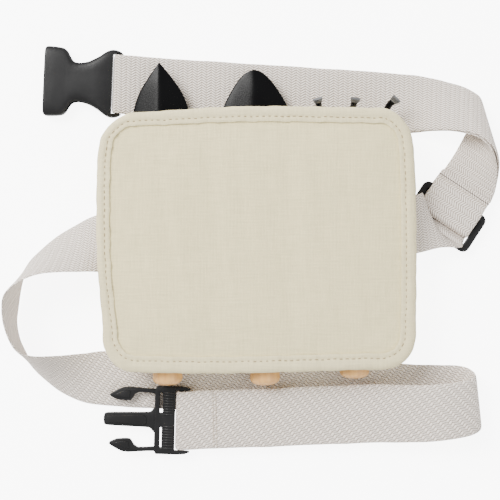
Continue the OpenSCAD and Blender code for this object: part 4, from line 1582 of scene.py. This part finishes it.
@dataclass
class HandTool:
    """A wooden handle, a ferrule and a steel head, drawn along Z from the handle's end."""

    head: Head
    at: tuple[float, float]
    lean: float
    head_z: float
    tool_z: float = 14.0
    handle_r: float = 9.4
    handle_l: float = 92.0
    shank_r: float = 2.5
    ferrule_r: float = 6.2
    ferrule_l: float = 16.0
    sides: int = 64

    @property
    def name(self) -> str:
        """The tool's name, which is its body's as well."""
        return self.head.value

    @property
    def ferrule_z(self) -> float:
        """Where the ferrule starts on the handle."""
        return self.handle_l - 10

    def lying(self, points: np.ndarray) -> np.ndarray:
        """Lays points drawn along Z down where the tool is in the pouch. Their -Y is up."""
        flat = np.column_stack([points[:, 0], points[:, 2], -points[:, 1]])
        return Spot((*self.at, self.tool_z), self.lean).place(flat)

    def _handle(self) -> bpy.types.Object:
        """Turns the handle, with a rounded end and a slim waist."""
        r = self.handle_r
        bun = np.linspace(0, math.pi / 2, 12)
        end = [[r * 1.03 * math.sin(a) ** 0.7, 4.9 - 4.9 * max(math.cos(a), 0.0) ** 0.9] for a in bun]
        grip = smooth_path(np.array([
            [r * 1.03, 4.9], [r * 1.03, 6.4], [r * 1.02, 8.4], [r - 0.15, 12.0], [r - 0.7, 20.0],
            [r - 1.4, 32.0], [r - 1.6, 44.0], [r - 1.0, 60.0], [r - 1.4, 72.0],
            [self.ferrule_r + 0.6, self.ferrule_z - 0.6]]), 5)
        neck = [[self.ferrule_r + 0.2, self.ferrule_z - 0.1], [self.ferrule_r - 0.9, self.ferrule_z],
                [self.ferrule_r - 0.9, self.handle_l], [0.01, self.handle_l]]
        profile = np.array([[0.01, 0.0], *end[1:], *grip[1:], *neck])
        return moved(loft(f"{self.name}_wood", lathe(profile, self.sides)), self.lying)

    def _ferrule(self) -> bpy.types.Object:
        """Turns the ferrule, with a rolled rim and a rounded shoulder."""
        r, z, top = self.ferrule_r, self.ferrule_z, self.ferrule_z + self.ferrule_l
        profile = np.array([
            [r - 0.7, z], [r - 0.1, z - 0.15], [r + 0.35, z + 0.3], [r + 0.35, z + 1.0], [r, z + 1.4],
            [r, z + 6.0], [r - 0.25, z + 6.4], [r - 0.25, z + 7.0], [r, z + 7.4], [r, top - 3.2],
            [r - 0.5, top - 1.5], [r - 1.6, top - 0.4], [r - 2.8, top], [self.shank_r + 0.05, top],
            [self.shank_r + 0.05, top - 1.0], [r - 0.75, top - 3.6]])
        turn = np.linspace(0, 2 * math.pi, self.sides, endpoint=False)
        rings = np.array([
            np.column_stack([profile[:, 0] * math.cos(a), profile[:, 0] * math.sin(a), profile[:, 1]])
            for a in turn
        ])
        return moved(ring_wall(f"{self.name}_collar", rings), self.lying)

    def _neck(self, low: float, high: float) -> bpy.types.Object:
        """Makes the swelling where the head is forged on to the shank."""
        r = self.shank_r
        profile = smooth_path(np.array([
            [r + 0.1, low], [r + 0.9, low + 1.2], [r + 1.1, low + 4.0], [r + 0.9, (low + high) / 2],
            [r + 0.1, high - 2.5], [r - 0.9, high]]), 4)
        closed = np.array([[0.01, low], *profile, [0.01, high]])
        return loft("neck", lathe(closed, 32))

    def build(self) -> list[bpy.types.Object]:
        """Makes the tool and dresses it."""
        wood = WOOD.dress(self._handle())
        fit(wood, self.name, "handle_wood", f"{self.name}_handle")
        collar = STEEL.dress(self._ferrule())
        fit(collar, self.name, "ferrule_steel", f"{self.name}_ferrule")
        head = PAINT.dress(moved(self.make_head(), self.lying))
        part = "tines" if self.head is Head.TINED else "blade"
        fit(head, self.name, "black_paint", f"{self.name}_{part}")
        PAINT.dress(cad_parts[f"{self.name}_shank"])
        return [wood, collar, head]

    def make_head(self) -> bpy.types.Object:
        """Makes the steel head before it is laid down."""
        raise NotImplementedError


@dataclass
class BladedTool(HandTool):
    """A tool with a pressed blade that is folded along its middle."""

    half: tuple[tuple[float, float], ...] = ()
    blade_l: float = 86.0
    width: float = 40.0
    rise: float = 7.0
    thick: float = 1.2
    ridge: float = 1.3

    def make_head(self) -> bpy.types.Object:
        """Presses the blade out of a sheet and adds its neck."""
        half = smooth_path(np.array(self.half), 5)
        s = np.sin(np.linspace(-1, 1, 29) * math.pi / 2)
        slope = self.rise / (self.width / 2 + 3)
        rings = []
        for back, wide in half[::-1]:
            x = s * wide
            fold = slope * (np.sqrt(x * x + self.ridge**2) - self.ridge)
            y = fold - self.shank_r + 0.5 * bump(back, 0.0, 9.0)
            z = np.full_like(x, self.head_z + self.blade_l + back)
            rim = self.thick * np.sqrt(np.clip(1 - np.abs(s) ** 10, 0, 1)) / 2 + 0.06
            mid = y + self.thick / 2
            top = np.column_stack([x, mid - rim, z])
            low = np.column_stack([x, mid + rim, z])[-2:0:-1]
            rings.append(np.concatenate([top, low]))
        blade = loft(f"{self.name}_pressed_blade", np.array(rings))
        neck = self._neck(self.head_z - 8, self.head_z + 16)
        return joined(f"{self.name}_pressed_blade", [blade, neck])


@dataclass
class TinedTool(HandTool):
    """A cultivator with three bent tines whose tips are hammered flat."""

    span: float = 43.0
    rod: float = 2.1
    reach: float = 45.5
    bend_r: float = 9.0
    bend: float = 72.0
    tip: float = 4.6
    fans: tuple[float, float, float] = (-1.5, 1.0, 5.5)

    def _tine(self, x: float, fan: float) -> tuple[bpy.types.Object, np.ndarray]:
        """Makes one tine and says how worn each of its points is."""
        hub = [[0.1 * x, 0, 0], [0.5 * x, 0, 7], [0.9 * x, 0, 14], [x, 0, 22], [x, 0, 30],
               [x, 0, self.reach - 6]]
        turn = []
        for a in np.radians(np.arange(0, self.bend + 1, 9)):
            back = 1 - math.cos(a)
            turn.append([x + fan * back, -self.bend_r * back, self.reach + self.bend_r * math.sin(a)])
        last, before = np.array(turn[-1]), np.array(turn[-2])
        way = unit(last - before)
        tip = [last + way * self.tip * k / 3 for k in (1, 2, 3)]
        path = smooth_path(np.array([*hub, *turn, *tip]), 4)
        left = path_lengths(path)[-1] - path_lengths(path)
        ahead = np.gradient(path, axis=0)
        circle = np.radians(np.arange(0, 360, 22.5))
        rings, wear = [], []
        for p, forward, rest in zip(path, ahead, left):
            forward = unit(forward)
            across = unit(np.cross(np.array([0.0, 1.0, 0.3]), forward))
            across = across if across[0] > 0 else -across
            third = np.cross(forward, across)
            flat = eased(float(np.clip((5.4 - rest) / 3.0, 0, 1)))
            wide = self.rod * (1 - flat) + (3.2 - 0.12 * rest) * flat
            deep = self.rod * (1 - flat) + 0.8 * flat
            power = 1.0 - 0.45 * flat
            cx = squared_off(np.cos(circle), power)
            sx = squared_off(np.sin(circle), power)
            rings.append(p + wide * cx[:, None] * across + deep * sx[:, None] * third)
            wear += [float(np.clip((4.4 - rest) / 1.6, 0, 1))] * len(circle)
        return loft("tine", np.array(rings)), np.array(wear)

    def make_head(self) -> bpy.types.Object:
        """Bends the tines and joins them at the hub."""
        parts = []
        for x, fan in zip((-self.span / 2, 0.01, self.span / 2), self.fans):
            tine, wear = self._tine(x, fan)
            marks = tine.data.attributes.new(WEAR_NAME, "FLOAT", "POINT")
            marks.data.foreach_set("value", wear[: len(tine.data.vertices)].astype(np.float32))
            parts.append(tine)
        parts.append(self._neck(-10, 6))
        head = joined(f"{self.name}_bent_tines", parts)
        return moved(head, lambda points: points + np.array([0, 0, self.head_z]))


# ------------------------------------------------------------------ buckle


@dataclass
class BuckleSocket:
    """The buckle's socket, drawn with its strap bar at the origin and its mouth towards -X."""

    at: tuple[float, float, float] = (-87.9, 108.8, 4.9)
    azimuth: float = -2.5
    low: float = -4.7
    thick: float = 9.6
    mouth: tuple[float, float] = (-2.3, 2.9)
    mouth_half: float = 19.8
    half: tuple[tuple[float, float], ...] = (
        (-48.3, 21.0), (-47.6, 22.2), (-45.4, 22.8), (-37.5, 22.2), (-34.2, 20.6), (-32, 17),
        (-30, 14.2), (-27.5, 13.1), (-24.5, 12.9), (-19, 14.2), (-13, 17.3), (-8, 20.8), (-4, 22.2),
        (0, 21.6), (2.6, 19.9))

    def _section(self, x: float, wide: float) -> np.ndarray:
        """Returns the rounded section of the socket at x."""
        back = float(np.clip((x + 16) / 18, 0, 1))
        band = 0.3 * float(np.clip((-34.0 - x) / 8.0, 0, 1))
        high = self.low + self.thick - 0.35 + band - 1.9 * back * back
        low = self.low + 1.1 * back * back
        if x < -47.4:
            high -= 0.7 * (-47.4 - x)
            low += 0.7 * (-47.4 - x)
        turns = np.linspace(0, 2 * math.pi, 72, endpoint=False)
        c, s = np.cos(turns), np.sin(turns)
        y = wide * squared_off(c, 0.3)
        mid, deep = (high + low) / 2, (high - low) / 2
        z = mid + deep * squared_off(s, 0.36)
        z -= 0.5 * (np.abs(y) / max(wide, 1)) ** 2.5 * (s > 0)
        return np.column_stack([np.full_like(y, x), y, z])

    def build(self) -> list[bpy.types.Object]:
        """Moulds the socket and cuts its mouth and slot."""
        rings = np.array([self._section(x, wide) for x, wide in smooth_path(np.array(self.half), 5)])
        body = loft("buckle_socket_shell", rings)
        slot = WEB_WIDTH / 2 + 0.7
        cutters = [block((-60, -self.mouth_half, self.mouth[0]), (-18, self.mouth_half, self.mouth[1])),
                   block((-4.1, -slot, -10), (15, slot, 20))]
        body = softened(carved(body, cutters), 0.45)
        moved(body, Spot(self.at, self.azimuth).place)
        MOULDED.dress(body)
        fit(body, "socket", "moulded_plastic", "buckle_socket")
        MOULDED.dress(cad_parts["socket_bar"])
        return [body]


@dataclass
class BucklePlug:
    """The buckle's plug with its tongue and two latch arms, drawn like the socket."""

    at: tuple[float, float, float] = (-46.7, -111.6, 5.6)
    azimuth: float = -1.5
    thick: float = 4.4
    arm_thick: float = 3.6
    front: float = -17.2
    slot_half: float = 19.7
    rib_pitch: float = 1.6
    windows: tuple[tuple[float, float, float, float], ...] = ((3.1, 5.3, 4.6, 18.0), (3.5, 4.9, -18.0, -4.6))

    def _frame(self) -> bpy.types.Object:
        """Makes the frame with its ears and the two windows ahead of its ribs."""
        outer = np.array([[self.front, 20.2], [self.front + 1.2, 22.2], [-2, 22.3], [3, 21.9], [6, 20.7],
                          [5.9, 20.0], [2, self.slot_half], [-3.9, self.slot_half]])
        holes = []
        for lo, hi, low, high in self.windows:
            lo, hi = self.front + lo, self.front + hi
            holes.append(np.array([[lo, low + 0.6], [lo, high - 0.6], [lo + 0.4, high], [hi - 0.4, high],
                                   [hi, high - 0.6], [hi, low + 0.6], [hi - 0.4, low], [lo + 0.4, low]]))
        return plate("plug_frame", [mirrored(outer), *holes], -self.thick / 2, self.thick / 2, 0.6)

    def _tongue(self) -> list[bpy.types.Object]:
        """Makes the tongue and the panel that stands up along its middle."""
        f = self.front
        half = smooth_path(np.array([[f - 33.4, 0.01], [f - 33.1, 2.2], [f - 31.8, 3.9], [f - 24, 4.4],
                                     [f - 6, 4.9], [f - 2.6, 5.6], [f - 0.6, 7.8], [f + 1, 8.6]]), 4)
        raised = smooth_path(np.array([[f - 31.4, 0.01], [f - 31.0, 1.5], [f - 29.8, 2.3], [f - 20, 2.7],
                                       [f - 7, 3.2], [f - 5.4, 0.01]]), 4)
        base = plate("tongue", [mirrored(half)], -self.thick / 2, self.thick / 2 - 0.7, 0.6)
        panel = plate("tongue_panel", [mirrored(raised)], 0, self.thick / 2, 0.45)
        return [base, panel]

    def _arm(self, side: int) -> bpy.types.Object:
        """Makes a latch arm, with a raised panel on its barbed head."""
        f = self.front
        body = np.array([[f + 0.6, 17.4], [f + 0.6, 20.3], [-22.5, 20.5], [-28, 20.9], [-34, 21.4],
                         [-38, 21.0], [-41.2, 19.6], [-45.5, 17.2], [-46.8, 16.0], [-46.2, 14.8],
                         [-41.8, 12.9], [-36, 12.4], [-33.2, 12.6], [-32.2, 13.4], [-30.2, 16.6],
                         [-27.8, 18.1], [-22.5, 17.9]])
        head = np.array([[-33.2, 18.9], [-37.5, 18.9], [-40.4, 17.8], [-43.8, 15.9], [-41.0, 14.5],
                         [-36, 14.1], [-33.8, 14.4]])
        turned = np.array([1, side])
        base = plate("arm", [body * turned], -self.arm_thick / 2, self.arm_thick / 2, 0.55)
        panel = plate("arm_panel", [head * turned], 0, self.arm_thick / 2 + 0.5, 0.4)
        return joined(f"latch_arm_{'upper' if side > 0 else 'lower'}_moulding", [base, panel])

    def build(self) -> list[bpy.types.Object]:
        """Makes the plug's pieces and dresses them."""
        spot = Spot(self.at, self.azimuth)
        body = joined("buckle_plug_moulding", [self._frame(), *self._tongue()])
        moved(body, spot.place)
        fit(MOULDED.dress(body), "plug", "moulded_plastic", "buckle_plug")
        lines = [spot.place(np.array([[self.front + 9.0, s * y, self.thick / 2 + 0.1]
                                      for y in np.arange(4.0, 18.3, 0.4)])) for s in (-1, 1)]
        # The ribs use the lighter plastic: painted highlight on their tops.
        ribs = RowMaker.rib("buckle_plug_ribs", lines, RIB_HIGHLIGHT_PLASTIC, self.rib_pitch, 6.6, 0.9, 1.3)
        fit(ribs, "plug", "moulded_plastic")
        MOULDED.dress(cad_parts["plug_bar"])
        made = [body, ribs]
        latches = ((1, "latch_upper", "latch_arm_upper"), (-1, "latch_lower", "latch_arm_lower"))
        for side, rides, node in latches:
            arm = moved(self._arm(side), spot.place)
            fit(MOULDED.dress(arm), rides, "moulded_plastic", node)
            made.append(arm)
        return made


# ------------------------------------------------------------------ scene


def fit(obj: bpy.types.Object, body: str, slot: str, *nodes: str) -> None:
    """Makes a piece ride on a body and hides the nodes that it stands for."""
    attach(obj, body)
    if nodes:
        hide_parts(*nodes)


@dataclass
class Studio:
    """The camera, the lights and the floor."""

    camera_x: float = -1.4
    distance: float = 750.0
    frame_width: float = 330.0
    sensor: float = 36.0
    floor_half: float = 4.0
    floor_z: float = -0.0004
    sky: float = 0.93

    def camera(self) -> None:
        """Hangs the camera straight above the belt."""
        data = bpy.data.cameras.new("camera")
        data.sensor_width = self.sensor
        data.lens = self.sensor * self.distance / self.frame_width
        data.clip_start, data.clip_end = 0.01, 20.0
        camera = bpy.data.objects.new("camera", data)
        camera.location = (self.camera_x * MM, 0.0, self.distance * MM)
        bpy.context.scene.collection.objects.link(camera)
        bpy.context.scene.camera = camera

    @staticmethod
    def _lamp(name: str, at: tuple[float, float, float], size: float, power: float, colour: Colour) -> None:
        """Hangs one square soft light that looks at the belt."""
        data = bpy.data.lights.new(name, "AREA")
        data.shape = "SQUARE"
        data.size = size
        data.energy = power
        data.color = colour
        lamp = bpy.data.objects.new(name, data)
        lamp.location = at
        lamp.rotation_euler = (-Vector(at)).to_track_quat("-Z", "Y").to_euler()
        bpy.context.scene.collection.objects.link(lamp)

    def light(self) -> None:
        """Lights the belt softly, from the upper left and from above."""
        self._lamp("key_light", (-1.1, 0.9, 1.5), 1.0, 86.0, (1.0, 0.99, 0.97))
        self._lamp("fill_light", (1.3, -0.9, 1.4), 1.6, 16.0, (0.985, 1.0, 0.98))
        world = bpy.data.worlds.new("studio")
        world.use_nodes = True
        sky = world.node_tree.nodes["Background"].inputs
        sky["Color"].default_value = (1.0, 1.0, 1.0, 1.0)
        sky["Strength"].default_value = self.sky
        bpy.context.scene.world = world

    def floor(self) -> None:
        """Lays the floor."""
        mesh = bpy.data.meshes.new("studio_floor")
        around = ((-1, -1), (1, -1), (1, 1), (-1, 1))
        corners = [(x * self.floor_half, y * self.floor_half, self.floor_z) for x, y in around]
        mesh.from_pydata(corners, [], [(0, 1, 2, 3)])
        floor = new_object("studio_floor", mesh)
        FLOOR.dress(floor)


def report(pieces: list[bpy.types.Object]) -> None:
    """Logs each finished piece and its number of faces."""
    for piece in pieces:
        LOG.info("%s: %d faces", piece.name, len(piece.data.polygons))


def main() -> None:
    """Builds the studio and every sub-assembly of the belt."""
    logging.basicConfig(level=logging.INFO, format="%(message)s", stream=sys.stdout)
    studio = Studio()
    studio.camera()
    studio.light()
    studio.floor()
    belt = Belt()
    for part in (belt, PaddedPanel(), Pocket()):
        report(part.build())
    trowel = BladedTool(
        Head.POINTED, (-54.6, -87.4), 1.5, 208.6 - 86, width=40.0,
        half=((0, 0.15), (-5, 4.2), (-10.3, 8.2), (-19.3, 14), (-30.6, 18), (-44, 20), (-62, 19.6), (-76, 17),
              (-83, 9), (-86, 3)))
    shovel = BladedTool(
        Head.ROUNDED, (8.5, -87.4), 2.1, 204 - 86, width=48.0,
        half=((0, 0.4), (-0.8, 3.4), (-2.6, 6.6), (-7.2, 11.2), (-15.7, 16.8), (-23.4, 20.8),
              (-34, 24), (-60, 24), (-74, 21.6), (-81, 14), (-86, 3)))
    cultivator = TinedTool(Head.TINED, (66.2, -83.0), 0.4, 124.0)
    for tool in (trowel, shovel, cultivator):
        report(tool.build())
    report(BuckleSocket(belt.socket_bar, belt.socket_azimuth + 90).build())
    report(BucklePlug(belt.plug_bar, belt.plug_azimuth + 90).build())


if __name__ == "__main__":
    main()
